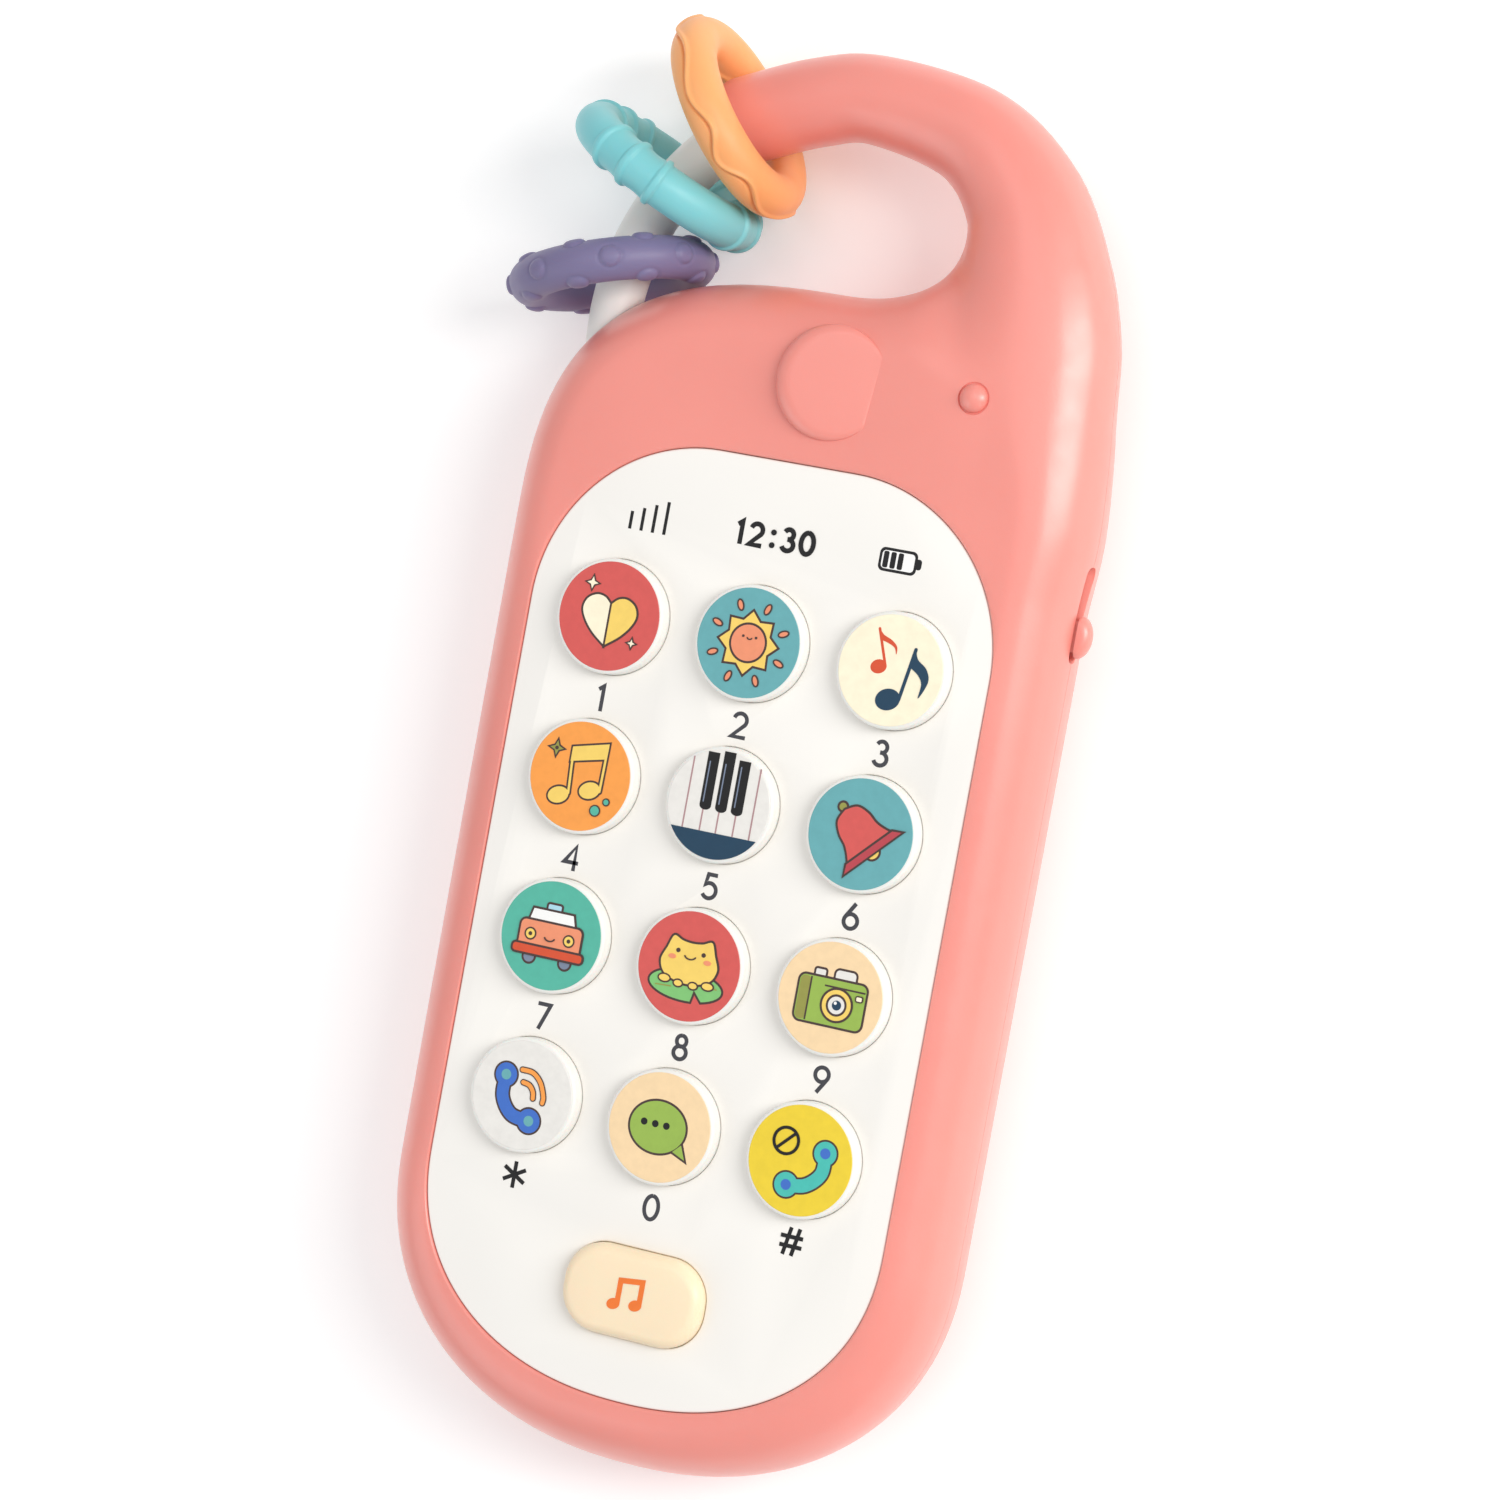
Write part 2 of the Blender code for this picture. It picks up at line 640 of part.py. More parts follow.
def batteries():
    """Two AAA cells, head to tail across the back, between sprung and flat contacts."""
    half = BATTERY_LENGTH / 2
    profile = [
        (BATTERY_RADIUS, -half),
        (BATTERY_RADIUS, half - 0.5),
        (BATTERY_RADIUS - 0.5, half),
        (1.9, half),
        (1.9, half + 0.8),
    ]
    for i, y in enumerate(BATTERY_YS):
        side = 1 if i == 0 else -1
        place = (side * 1.2, y, BATTERY_Z)
        turn = (0, math.radians(90 * side), 0)
        turned(f"battery_{i + 1}", profile, "battery_jacket", 16, location=place, rotation=turn)


def contact_spring(name, y, side):
    """A conical spring that presses on a cell's flat end."""
    turns, steps = 3, 8
    path = []
    for i in range(turns * steps + 1):
        share = i / (turns * steps)
        t = 2 * math.pi * turns * share
        radius = 3.2 - 1.0 * share
        x = side * (23.3 - 2.0 * share)
        path.append((x, y + radius * math.cos(t), BATTERY_Z + radius * math.sin(t)))
    tube(name, path, [0.25] * len(path), 5, "steel")


def contacts():
    edge = BAY_HALF_LENGTH
    z_range = (3.4, 11.2)
    box("bridge_plate", (edge - 0.7, -31.0, z_range[0]), (edge - 0.3, -12.5, z_range[1]), "steel")
    box("negative_plate", (-edge + 0.3, -20.5, z_range[0]), (-edge + 0.7, -12.0, z_range[1]), "steel")
    box("positive_plate", (-edge + 0.3, -31.5, z_range[0]), (-edge + 0.7, -23.0, z_range[1]), "steel")
    contact_spring("negative_spring", BATTERY_YS[0], -1)
    contact_spring("bridge_spring", BATTERY_YS[1], 1)


def wire(name, points, colour):
    path = smooth_path(points, 3)
    tube(name, path, [0.55] * len(path), 6, colour)


def wires():
    for side, colour in ((1, "wire_red"), (-1, "black")):
        points = [(9, 16, 7.5), (11, 12.5, 9), (13, 9, 11.5), (14, 7, 13.0)]
        name = "speaker_wire_red" if side == 1 else "speaker_wire_black"
        wire(name, [(side * x, y, z) for x, y, z in points], colour)
    wire("battery_wire_red", [(-27.4, -27, 8), (-28.4, -19, 9), (-28, -9, 11), (-23, -2, 13.0)], "wire_red")
    wire("battery_wire_black", [(-27.2, -15, 6), (-27.6, -10, 7.5), (-25, -3, 10.5), (-20, 1, 13.0)], "black")


def main():
    clear_scene()
    front_shell()
    rear_shell()
    face_panel()
    buttons()
    mode_button()
    ring_bar()
    rings()
    electronics()
    switch_knob()
    screws()
    battery_door()
    batteries()
    contacts()
    wires()


main()
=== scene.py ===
"""Toy phone with an elephant-trunk loop: the smooth outer surface, printed marks and finishes.

Lengths are in millimetres and mesh_object turns them into metres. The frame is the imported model's:
+Z out of the phone's face, +Y towards the trunk, +X to the side of the slide switch.
"""

import json
import math
from functools import partial

import bmesh
import bpy
import numpy as np
from mathutils import Matrix, Vector


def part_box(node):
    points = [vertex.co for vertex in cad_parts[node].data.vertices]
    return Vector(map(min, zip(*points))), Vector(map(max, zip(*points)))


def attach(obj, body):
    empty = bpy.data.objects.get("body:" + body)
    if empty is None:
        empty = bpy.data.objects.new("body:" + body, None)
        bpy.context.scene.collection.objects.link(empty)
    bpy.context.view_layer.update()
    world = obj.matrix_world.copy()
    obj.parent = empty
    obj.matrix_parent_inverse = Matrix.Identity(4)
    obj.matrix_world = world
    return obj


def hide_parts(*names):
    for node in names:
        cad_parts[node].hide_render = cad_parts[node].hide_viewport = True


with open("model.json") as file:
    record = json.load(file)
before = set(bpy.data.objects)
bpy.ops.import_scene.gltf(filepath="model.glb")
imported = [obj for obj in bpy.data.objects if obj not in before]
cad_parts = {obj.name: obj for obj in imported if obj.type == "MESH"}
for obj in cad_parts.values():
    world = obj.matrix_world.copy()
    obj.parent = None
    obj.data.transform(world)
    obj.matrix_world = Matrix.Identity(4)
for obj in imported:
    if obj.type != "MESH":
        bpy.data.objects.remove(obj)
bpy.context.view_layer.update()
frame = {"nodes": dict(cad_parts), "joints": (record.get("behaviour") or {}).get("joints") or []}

MM = 0.001
GAP = 0.3  # clearance between neighbouring pieces

# Casing, as in the frame
HALF_WIDTH = 37.5
TOP_CENTRE_Y, TOP_REACH, TOP_POWER = 40.0, 33.9, 2.8
FOOT_CENTRE_Y, FOOT_REACH, FOOT_POWER = -40.6, 32.4, 2.2
PARTING_Z = 13.2
SEAM = 0.05  # half the gap at the parting line
FACE_Z = 21.9
FRONT_ROUNDING = 7.5
REAR_ROUNDING = 10.0
WALL = 2.0
TRUNK = (
    (23.6, 52.0, 12.2),
    (24.6, 62.0, 12.2),
    (24.8, 72.0, 11.5),
    (24.0, 80.0, 9.5),
    (20.8, 88.6, 7.5),
    (13.0, 95.4, 6.2),
    (0.0, 98.1, 5.5),
    (-8.0, 96.8, 5.5),
    (-16.9, 93.4, 5.5),
)
TRUNK_MOST_DEPTH = 8.5
NET_STEP = 0.9

# Face panel
PANEL_HALF_WIDTH = 30.66
PANEL_TOP_Y = 52.4
PANEL_CORNER = 21.6
PANEL_FOOT_CENTRE_Y, PANEL_FOOT_REACH = -39.0, 25.4
PANEL_LOW_Z, PANEL_HIGH_Z = 20.2, 21.7
FLOOR_HIGH_Z, FLOOR_LOW_Z = 19.9, 18.3

# Buttons
BUTTON_HOLE_RADIUS = 7.2
MODE_GAP, PANEL_GAP, SOCKET_GAP = 0.07, 0.09, 0.12
CAP_RADIUS = 7.15
CAP_TOP_Z, LABEL_TOP_Z, MODE_TOP_Z = 23.7, 23.77, 23.74
LABEL_RADIUS = 6.72
FLANGE_RADIUS, FLANGE_LOW_Z, FLANGE_HIGH_Z = 8.3, 17.3, 18.0
MODE_SIZE, MODE_CORNER = (18.6, 11.1), 5.0
STATUS_Y = 43.1  # the line of the signal bars, the clock and the battery sign
FIGURE_DROP = 10.1  # from a button's centre down to its figure
FIGURE_SCALE = 1.04

# Ear and eye
EAR_CENTRE, EAR_RADIUS, EAR_RIGHT_X = (3.8, 62.8), 7.1, 9.4
EAR_LEFT_RISE, EAR_RIGHT_RISE = 2.0, 0.05
EYE_CENTRE, EYE_RADIUS = (22.2, 63.8), 1.75

# Ring bar
BAR_CENTRE, BAR_REACH, BAR_RADIUS = (1.5, 66.6), 31.6, 3.2
BAR_START_DEG, BAR_END_DEG = 112.0, 196.0
BAR_KNOB_RADIUS, BAR_KNOB_DEG = 4.2, 3.7

# Side switch
SLOT_Y, SLOT_Z = (34.8, 46.1), (12.1, 14.2)

# Back
BAY_HALF_LENGTH, BAY_Y, BAY_HIGH_Z = 24.6, (-33.0, -10.5), 12.8
DOOR_HALF_WIDTH, DOOR_Y, DOOR_Z = 26.0, (-35.0, -8.5), (0.2, 1.7)
DOOR_SCREW, DOOR_TAB_RADIUS = (0.0, -37.0), 4.6
CASE_SCREWS = ((-15.0, 58.0), (15.0, 58.0), (-17.0, -54.0), (17.0, -54.0))
SCREW_HEAD_RADIUS, SCREW_RADIUS, SCREW_SEAT_Z = 2.7, 1.4, 6.0
SPEAKER_CENTRE, SPEAKER_RADIUS = (0.0, 24.0), 13.5

# Colours as seen on a screen, 0 to 255
PINK = (240, 146, 134)
PANEL_WHITE = (245, 242, 236)
CAP_WHITE = (241, 238, 232)
CREAM = (254, 230, 196)
BAR_WHITE = (232, 229, 224)
RING_ORANGE = (245, 172, 109)
RING_TEAL = (126, 202, 207)
RING_PURPLE = (120, 112, 148)
INKS = {
    "ink_dark": (70, 52, 48),
    "ink_navy": (18, 60, 86),
    "ink_black": (8, 8, 10),
    "ink_figure": (62, 62, 68),
    "ink_red": (215, 89, 84),
    "ink_rose": (186, 66, 76),
    "ink_teal": (102, 171, 176),
    "ink_cream": (253, 243, 214),
    "ink_orange": (249, 160, 72),
    "ink_green": (84, 182, 160),
    "ink_beige": (247, 216, 170),
    "ink_grey": (234, 231, 225),
    "ink_yellow": (238, 208, 50),
    "ink_lemon": (246, 210, 104),
    "ink_rust": (216, 80, 44),
    "ink_leaf": (128, 196, 116),
    "ink_olive": (150, 150, 70),
    "ink_lime": (152, 184, 78),
    "ink_sky": (172, 216, 232),
    "ink_slate": (122, 134, 156),
    "ink_blue": (60, 110, 198),
    "ink_aqua": (70, 190, 178),
    "ink_mauve": (176, 138, 140),
    "ink_white": (250, 249, 246),
    "ink_blush": (240, 148, 110),
    "ink_symbol": (240, 120, 42),
}


# Materials


def linear(colour):
    """A screen colour as the linear colour that shaders take."""
    def channel(value):
        value /= 255
        return value / 12.92 if value <= 0.04045 else ((value + 0.055) / 1.055) ** 2.4
    return tuple(channel(value) for value in colour) + (1.0,)


def shaded(colour, factor):
    return tuple(min(value * factor, 1.0) for value in colour[:3]) + (1.0,)


def new_material(name):
    made = bpy.data.materials.new(name)
    made.use_nodes = True
    return made, made.node_tree, made.node_tree.nodes["Principled BSDF"]


def add_noise(tree, scale, detail=3.0, stretch=(1.0, 1.0, 1.0)):
    """Noise over the object's own coordinates, scale in waves to the millimetre."""
    place = tree.nodes.new("ShaderNodeTexCoord")
    mapping = tree.nodes.new("ShaderNodeMapping")
    mapping.inputs["Scale"].default_value = [scale / MM * share for share in stretch]
    noise = tree.nodes.new("ShaderNodeTexNoise")
    noise.inputs["Scale"].default_value = 1.0
    noise.inputs["Detail"].default_value = detail
    tree.links.new(place.outputs["Object"], mapping.inputs["Vector"])
    tree.links.new(mapping.outputs["Vector"], noise.inputs["Vector"])
    return noise.outputs["Fac"]


def add_range(tree, value, low, high):
    """Spreads a noise value, which stays between about 0.3 and 0.7, over low to high."""
    change = tree.nodes.new("ShaderNodeMapRange")
    change.inputs["From Min"].default_value = 0.3
    change.inputs["From Max"].default_value = 0.7
    change.inputs["To Min"].default_value = low
    change.inputs["To Max"].default_value = high
    tree.links.new(value, change.inputs["Value"])
    return change.outputs["Result"]


def add_tones(tree, shader, noise, base, low, high):
    """Colours the shader with base, low to high times as bright by the noise."""
    mix = tree.nodes.new("ShaderNodeMix")
    mix.data_type = "RGBA"
    tree.links.new(add_range(tree, noise, 0.0, 1.0), mix.inputs["Factor"])
    mix.inputs[6].default_value = shaded(base, low)
    mix.inputs[7].default_value = shaded(base, high)
    tree.links.new(mix.outputs[2], shader.inputs["Base Color"])


def add_roughness(tree, shader, noise, low, high):
    tree.links.new(add_range(tree, noise, low, high), shader.inputs["Roughness"])


def add_bumps(tree, shader, layers):
    """Chains bump layers of (height socket, depth in millimetres, strength)."""
    normal = None
    for height, depth, strength in layers:
        bump = tree.nodes.new("ShaderNodeBump")
        bump.inputs["Distance"].default_value = depth * MM
        bump.inputs["Strength"].default_value = strength
        tree.links.new(height, bump.inputs["Height"])
        if normal:
            tree.links.new(normal, bump.inputs["Normal"])
        normal = bump.outputs["Normal"]
    tree.links.new(normal, shader.inputs["Normal"])


def plastic(name, colour, rough, grain, glow=0.0, coat=0.0, tint=0.04, ior=1.47, wave=0.25):
    """Moulded plastic: slow drift of tone, fine spark-eroded grain and faint waves from moulding."""
    made, tree, shader = new_material(name)
    add_tones(tree, shader, add_noise(tree, 0.035, 2.0), linear(colour), 1 - tint, 1 + tint)
    add_roughness(tree, shader, add_noise(tree, 0.4, 4.0), *rough)
    waves, grains = add_noise(tree, 0.06, 1.0), add_noise(tree, 3.2, 2.0)
    add_bumps(tree, shader, [(waves, 0.12, wave), (grains, grain, 0.8)])
    shader.inputs["IOR"].default_value = ior
    if glow:
        shader.inputs["Subsurface Weight"].default_value = glow
        shader.inputs["Subsurface Radius"].default_value = (1.0, 0.45, 0.35)
        shader.inputs["Subsurface Scale"].default_value = 1.6 * MM
    shader.inputs["Coat Weight"].default_value = coat
    shader.inputs["Coat Roughness"].default_value = 0.3
    return made


def metal(name, colour, rough=(0.22, 0.36), stretch=(1.0, 1.0, 1.0)):
    """Drawn or plated metal with a worn, uneven shine."""
    made, tree, shader = new_material(name)
    drift = add_noise(tree, 0.5, 4.0, stretch)
    add_tones(tree, shader, drift, linear(colour), 0.82, 1.05)
    add_roughness(tree, shader, drift, *rough)
    shader.inputs["Metallic"].default_value = 1.0
    add_bumps(tree, shader, [(add_noise(tree, 2.5, 3.0, stretch), 0.01, 0.6)])
    return made


def ink(name):
    """Pad-printed ink: a thin satin film of slightly uneven tone."""
    made = bpy.data.materials.get(name)
    if made:
        return made
    made, tree, shader = new_material(name)
    add_tones(tree, shader, add_noise(tree, 0.9, 3.0), linear(INKS[name]), 0.965, 1.03)
    add_roughness(tree, shader, add_noise(tree, 1.5, 3.0), 0.36, 0.5)
    add_bumps(tree, shader, [(add_noise(tree, 6.0, 2.0), 0.004, 0.5)])
    return made


def board_material():
    """Green solder mask with copper tracks showing through as paler lines."""
    made, tree, shader = new_material("board_mask")
    place = tree.nodes.new("ShaderNodeTexCoord")
    bricks = tree.nodes.new("ShaderNodeTexBrick")
    bricks.inputs["Scale"].default_value = 0.35 / MM
    bricks.inputs["Mortar Size"].default_value = 0.06
    bricks.inputs["Color1"].default_value = linear((24, 96, 58))
    bricks.inputs["Color2"].default_value = linear((28, 106, 64))
    bricks.inputs["Mortar"].default_value = linear((74, 158, 96))
    tree.links.new(place.outputs["Object"], bricks.inputs["Vector"])
    tree.links.new(bricks.outputs["Color"], shader.inputs["Base Color"])
    add_roughness(tree, shader, add_noise(tree, 0.8), 0.28, 0.4)
    add_bumps(tree, shader, [(bricks.outputs["Fac"], 0.03, 0.6), (add_noise(tree, 3.0), 0.01, 0.5)])
    return made


def floor_material():
    """Matt white card that gives off a little light, so that it stays near white."""
    made, tree, shader = new_material("studio_floor")
    add_tones(tree, shader, add_noise(tree, 0.01, 2.0), linear((254, 254, 253)), 0.985, 1.0)
    add_roughness(tree, shader, add_noise(tree, 0.3, 3.0), 0.72, 0.85)
    add_bumps(tree, shader, [(add_noise(tree, 0.8, 3.0), 0.02, 0.3)])
    shader.inputs["Specular IOR Level"].default_value = 0.25
    shader.inputs["Emission Color"].default_value = (1.0, 1.0, 1.0, 1.0)
    shader.inputs["Emission Strength"].default_value = 0.16
    return made


# Meshes


SMOOTH_DEG = 35.0  # steeper edges than this are shaded sharp


def mesh_object(name, vertices, faces, materials, slots=None, smooth_deg=SMOOTH_DEG, outward=True):
    """A named object from points in millimetres."""
    mesh = bpy.data.meshes.new(name)
    mesh.from_pydata((np.asarray(vertices, float) * MM).tolist(), [], faces)
    for one in materials if isinstance(materials, (list, tuple)) else [materials]:
        mesh.materials.append(one)
    if slots is not None:
        mesh.polygons.foreach_set("material_index", slots)
    if outward:
        work = bmesh.new()
        work.from_mesh(mesh)
        bmesh.ops.recalc_face_normals(work, faces=work.faces)
        work.to_mesh(mesh)
        work.free()
    mesh.shade_smooth()
    mesh.set_sharp_from_angle(angle=math.radians(smooth_deg))
    return linked(name, mesh)


def loft(name, rings, material=None):
    """A closed solid through rings of equally many points."""
    count = len(rings[0])
    vertices = [point for ring in rings for point in ring]
    last = len(vertices) - count
    faces = [tuple(range(count)), tuple(range(last, len(vertices)))]
    for low in range(0, last, count):
        for i in range(count):
            j = (i + 1) % count
            faces.append((low + i, low + j, low + count + j, low + count + i))
    return mesh_object(name, vertices, faces, material or [])


def levels(outline_at, rows):
    """One ring for each (how far the outline grows, z)."""
    return [[(x, y, z) for x, y in outline_at(grow)] for grow, z in rows]


def rounding(across, down, angles):
    """How far a rounded-over edge draws in and drops, at each angle up from its side."""
    turns = [math.radians(degrees) for degrees in angles]
    return [(across * (1 - math.cos(t)), down * (1 - math.sin(t))) for t in turns]


def prism(name, outline, low_z, high_z, material=None):
    return loft(name, [[(x, y, z) for x, y in outline] for z in (low_z, high_z)], material)


def box(name, low, high):
    corners = [(low[0], low[1]), (high[0], low[1]), (high[0], high[1]), (low[0], high[1])]
    return prism(name, corners, low[2], high[2])


def ellipse(x, y, across, high=None, turn=0.0, steps=48, start=0.0, end=360.0):
    """Points of an ellipse, or of a stretch of one, turned by turn degrees."""
    high = across if high is None else high
    whole = end - start == 360.0
    c, s = math.cos(math.radians(turn)), math.sin(math.radians(turn))
    found = []
    for i in range(steps if whole else steps + 1):
        t = math.radians(start + (end - start) * i / steps)
        px, py = across * math.cos(t), high * math.sin(t)
        found.append((x + px * c - py * s, y + px * s + py * c))
    return found


def turned(name, profile, centre=(0, 0), steps=72, material=None):
    """A solid turned about an upright axis, from (radius, z) pairs that start and end off the axis."""
    rings = [[(x, y, z) for x, y in ellipse(*centre, radius, steps=steps)] for radius, z in profile]
    return loft(name, rings, material)


def cylinder(name, centre, radius, low_z, high_z, steps=48):
    return prism(name, ellipse(*centre, radius, steps=steps), low_z, high_z)


def linked(name, data):
    """A new object in the scene for a mesh, a light or a camera."""
    obj = bpy.data.objects.new(name, data)
    bpy.context.scene.collection.objects.link(obj)
    return obj


def joined(name, parts):
    """One mesh out of several that don't meet."""
    work = bmesh.new()
    for part in parts:
        work.from_mesh(part.data)
        bpy.data.objects.remove(part)
    mesh = bpy.data.meshes.new(name)
    work.to_mesh(mesh)
    work.free()
    return linked(name, mesh)


def combined(obj, operation, *others):
    """obj after one Boolean with each of the others, which are used up."""
    for other in others:
        change = obj.modifiers.new("combine", "BOOLEAN")
        change.operation = operation
        change.solver = "MANIFOLD"
        change.object = other
        bpy.context.view_layer.update()
        mesh = bpy.data.meshes.new_from_object(obj.evaluated_get(bpy.context.evaluated_depsgraph_get()))
        obj.modifiers.clear()
        old, obj.data = obj.data, mesh
        bpy.data.meshes.remove(old)
        bpy.data.objects.remove(other)
    return obj


def finished(obj, material):
    """The object with one material all over, after its Booleans."""
    mesh = obj.data
    mesh.materials.clear()
    mesh.materials.append(material)
    mesh.polygons.foreach_set("material_index", [0] * len(mesh.polygons))
    mesh.shade_smooth()
    mesh.set_sharp_from_angle(angle=math.radians(SMOOTH_DEG))
    return obj


def place_piece(obj, body, nodes=()):
    """Fixes a piece to its body, and hides the nodes that it stands for."""
    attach(obj, body)
    if nodes:
        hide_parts(*nodes)
    return obj


# Outlines


def smooth_path(points, steps, closed=False):
    """Points along a Catmull-Rom curve through the given ones, whatever their number of coordinates."""
    count = len(points)
    found = []

    def blend(p, q, r, s, t):
        bend = (2 * p - 5 * q + 4 * r - s) * t**2 + (3 * q - p - 3 * r + s) * t**3
        return 0.5 * (2 * q + (r - p) * t + bend)

    for i in range(count if closed else count - 1):
        if closed:
            near = [points[(i + k) % count] for k in (-1, 0, 1, 2)]
        else:
            near = [points[min(max(i + k, 0), count - 1)] for k in (-1, 0, 1, 2)]
        for k in range(steps):
            found.append(tuple(blend(*values, k / steps) for values in zip(*near)))
    if not closed:
        found.append(tuple(points[-1]))
    return found


def rounded_box(x0, y0, x1, y1, radius, steps=8):
    left, right, low, high = x0 + radius, x1 - radius, y0 + radius, y1 - radius
    found = []
    for corner, (x, y) in enumerate(((right, high), (left, high), (left, low), (right, low))):
        found += ellipse(x, y, radius, steps=steps, start=90 * corner, end=90 * corner + 90)
    return found


def superellipse_half(start, across, reach, power, centre_y, steps):
    """Half a superellipse, counter-clockwise from the angle start."""
    found = []
    for i in range(steps + 1):
        t = start + math.pi * i / steps
        c, s = math.cos(t), math.sin(t)
        x = across * math.copysign(abs(c) ** (2 / power), c)
        found.append((x, centre_y + reach * math.copysign(abs(s) ** (2 / power), s)))
    return found


def casing_outline(inset=0.0, steps=120):
    """The casing's outline without its trunk, drawn in by inset all round."""
    across = HALF_WIDTH - inset
    top = superellipse_half(0.0, across, TOP_REACH - inset, TOP_POWER, TOP_CENTRE_Y, steps)
    foot = superellipse_half(math.pi, across, FOOT_REACH - inset, FOOT_POWER, FOOT_CENTRE_Y, steps)
    return top + foot


def panel_outline(grow=0.0):
    """The face panel's outline: round-cornered at the top, one deep curve at the foot."""
    half, radius = PANEL_HALF_WIDTH + grow, PANEL_CORNER + grow
    top_x, top_y = PANEL_HALF_WIDTH - PANEL_CORNER, PANEL_TOP_Y - PANEL_CORNER
    found = ellipse(top_x, top_y, radius, steps=32, start=0, end=90)
    found += ellipse(-top_x, top_y, radius, steps=32, start=90, end=180)
    reach = PANEL_FOOT_REACH + grow
    return found + superellipse_half(math.pi, half, reach, FOOT_POWER, PANEL_FOOT_CENTRE_Y, 96)


def lipped_cutter(name, outline_at, low_z, edge_z, lip):
    """A cutter for a hole or recess whose rim, at edge_z, is rounded over by lip."""
    rows = [(0.0, low_z), (0.0, edge_z - lip)]
    rows += [(out, edge_z - drop) for out, drop in rounding(lip, lip, (30, 60, 90))]
    rows += [(lip * 1.6, edge_z + 0.05), (lip * 1.6, edge_z + 5)]
    return loft(name, levels(outline_at, rows))


# Casing


def nearest_on(line, closed, points):
    """Each point's distance from a polyline, and how far along it the nearest place is."""
    far = (points**2).sum(1)[:, None] - 2 * points @ line.T + (line**2).sum(1)[None]
    nearest = far.argmin(1)
    distance = np.full(len(points), 1e9)
    along = np.zeros(len(points))
    for step in (-1, 0):
        first = (nearest + step) % len(line) if closed else np.clip(nearest + step, 0, len(line) - 2)
        start, end = line[first], line[(first + 1) % len(line)]
        run = end - start
        share = ((points - start) * run).sum(1) / np.maximum((run**2).sum(1), 1e-9)
        share = np.clip(share, 0, 1)
        found = np.linalg.norm(points - start - run * share[:, None], axis=1)
        closer = found < distance
        distance[closer] = found[closer]
        along[closer] = (first + share)[closer]
    return distance, along


BODY_LINE = np.array(casing_outline())
TRUNK_LINE = np.array(smooth_path(TRUNK, 14))


def smooth_step(value, low, high):
    share = np.clip((value - low) / (high - low), 0, 1)
    return share * share * (3 - 2 * share)


def plan_field(points):
    """For points in plan: depth inside the silhouette, and how much of the section is the trunk's."""
    x, y = points[:, 0], points[:, 1]
    top = (np.abs(x) / HALF_WIDTH) ** TOP_POWER + (np.maximum(y - TOP_CENTRE_Y, 0) / TOP_REACH) ** TOP_POWER
    foot = (np.abs(x) / HALF_WIDTH) ** FOOT_POWER
    foot += (np.maximum(FOOT_CENTRE_Y - y, 0) / FOOT_REACH) ** FOOT_POWER
    distance, _ = nearest_on(BODY_LINE, True, points)
    body = np.where((top < 1) & (foot < 1), distance, -distance)
    distance, along = nearest_on(TRUNK_LINE[:, :2], False, points)
    radius = np.interp(along, np.arange(len(TRUNK_LINE)), TRUNK_LINE[:, 2])
    trunk = radius - distance
    reach = 7.0 + 6.0 * smooth_step(-x, -20, -12)
    near = np.maximum(reach - np.abs(body - trunk), 0) / reach
    depth = np.maximum(body, trunk) + near * near * reach / 4
    share = smooth_step(trunk - body, -6.0, 12.0)
    return depth, share, radius


def casing_field(points):
    """Negative inside the casing. The front and the back each have their own edge rounding."""
    depth, share, radius = plan_field(points[:, :2])
    rise = points[:, 2] - PARTING_Z
    trunk_high = TRUNK_MOST_DEPTH * np.tanh(radius / TRUNK_MOST_DEPTH) * 1.12
    front = rise > 0
    wide = np.where(front, FRONT_ROUNDING, REAR_ROUNDING)
    high = np.where(front, FACE_Z - PARTING_Z, PARTING_Z)
    wide = wide + (radius - wide) * share
    high = high + (trunk_high - high) * share
    across = np.maximum(wide - depth, 0) / wide
    return (np.sqrt(across**2 + (rise / high) ** 2) - 1) * np.minimum(wide, high)


def net_vertices(values):
    """The cells that the surface crosses, and the middle of its crossings in each, in grid steps."""
    corners = [(i, j, k) for i in (0, 1) for j in (0, 1) for k in (0, 1)]
    size = [n - 1 for n in values.shape]

    def corner(c):
        return values[c[0] : c[0] + size[0], c[1] : c[1] + size[1], c[2] : c[2] + size[2]]

    total = np.zeros(size + [3])
    count = np.zeros(size)
    for a in corners:
        for axis in range(3):
            if a[axis]:
                continue
            b = tuple(1 if n == axis else a[n] for n in range(3))
            low, high = corner(a), corner(b)
            crossed = (low < 0) != (high < 0)
            share = np.where(crossed, low / np.where(crossed, low - high, 1), 0)
            for n in range(3):
                total[..., n] += crossed * (share if n == axis else a[n])
            count += crossed
    return total, count


def net_faces(values, index):
    """Four-cornered faces round each grid edge whose ends lie on different sides."""
    faces = []
    inside = values < 0
    for axis in range(3):
        low = [slice(1, -1)] * 3
        high = [slice(1, -1)] * 3
        low[axis], high[axis] = slice(0, -1), slice(1, None)
        first, second = inside[tuple(low)], inside[tuple(high)]
        where = np.argwhere(first != second)
        leaving = first[tuple(where.T)]
        where += [0 if n == axis else 1 for n in range(3)]
        u, v = [n for n in range(3) if n != axis]
        quad = []
        for du, dv in ((-1, -1), (0, -1), (0, 0), (-1, 0)):
            cell = where.copy()
            cell[:, u] += du
            cell[:, v] += dv
            quad.append(index[tuple(cell.T)])
        quad = np.stack(quad, 1)
        flip = leaving if axis == 1 else ~leaving
        quad[flip] = quad[flip][:, ::-1]
        faces.append(quad)
    return np.concatenate(faces)


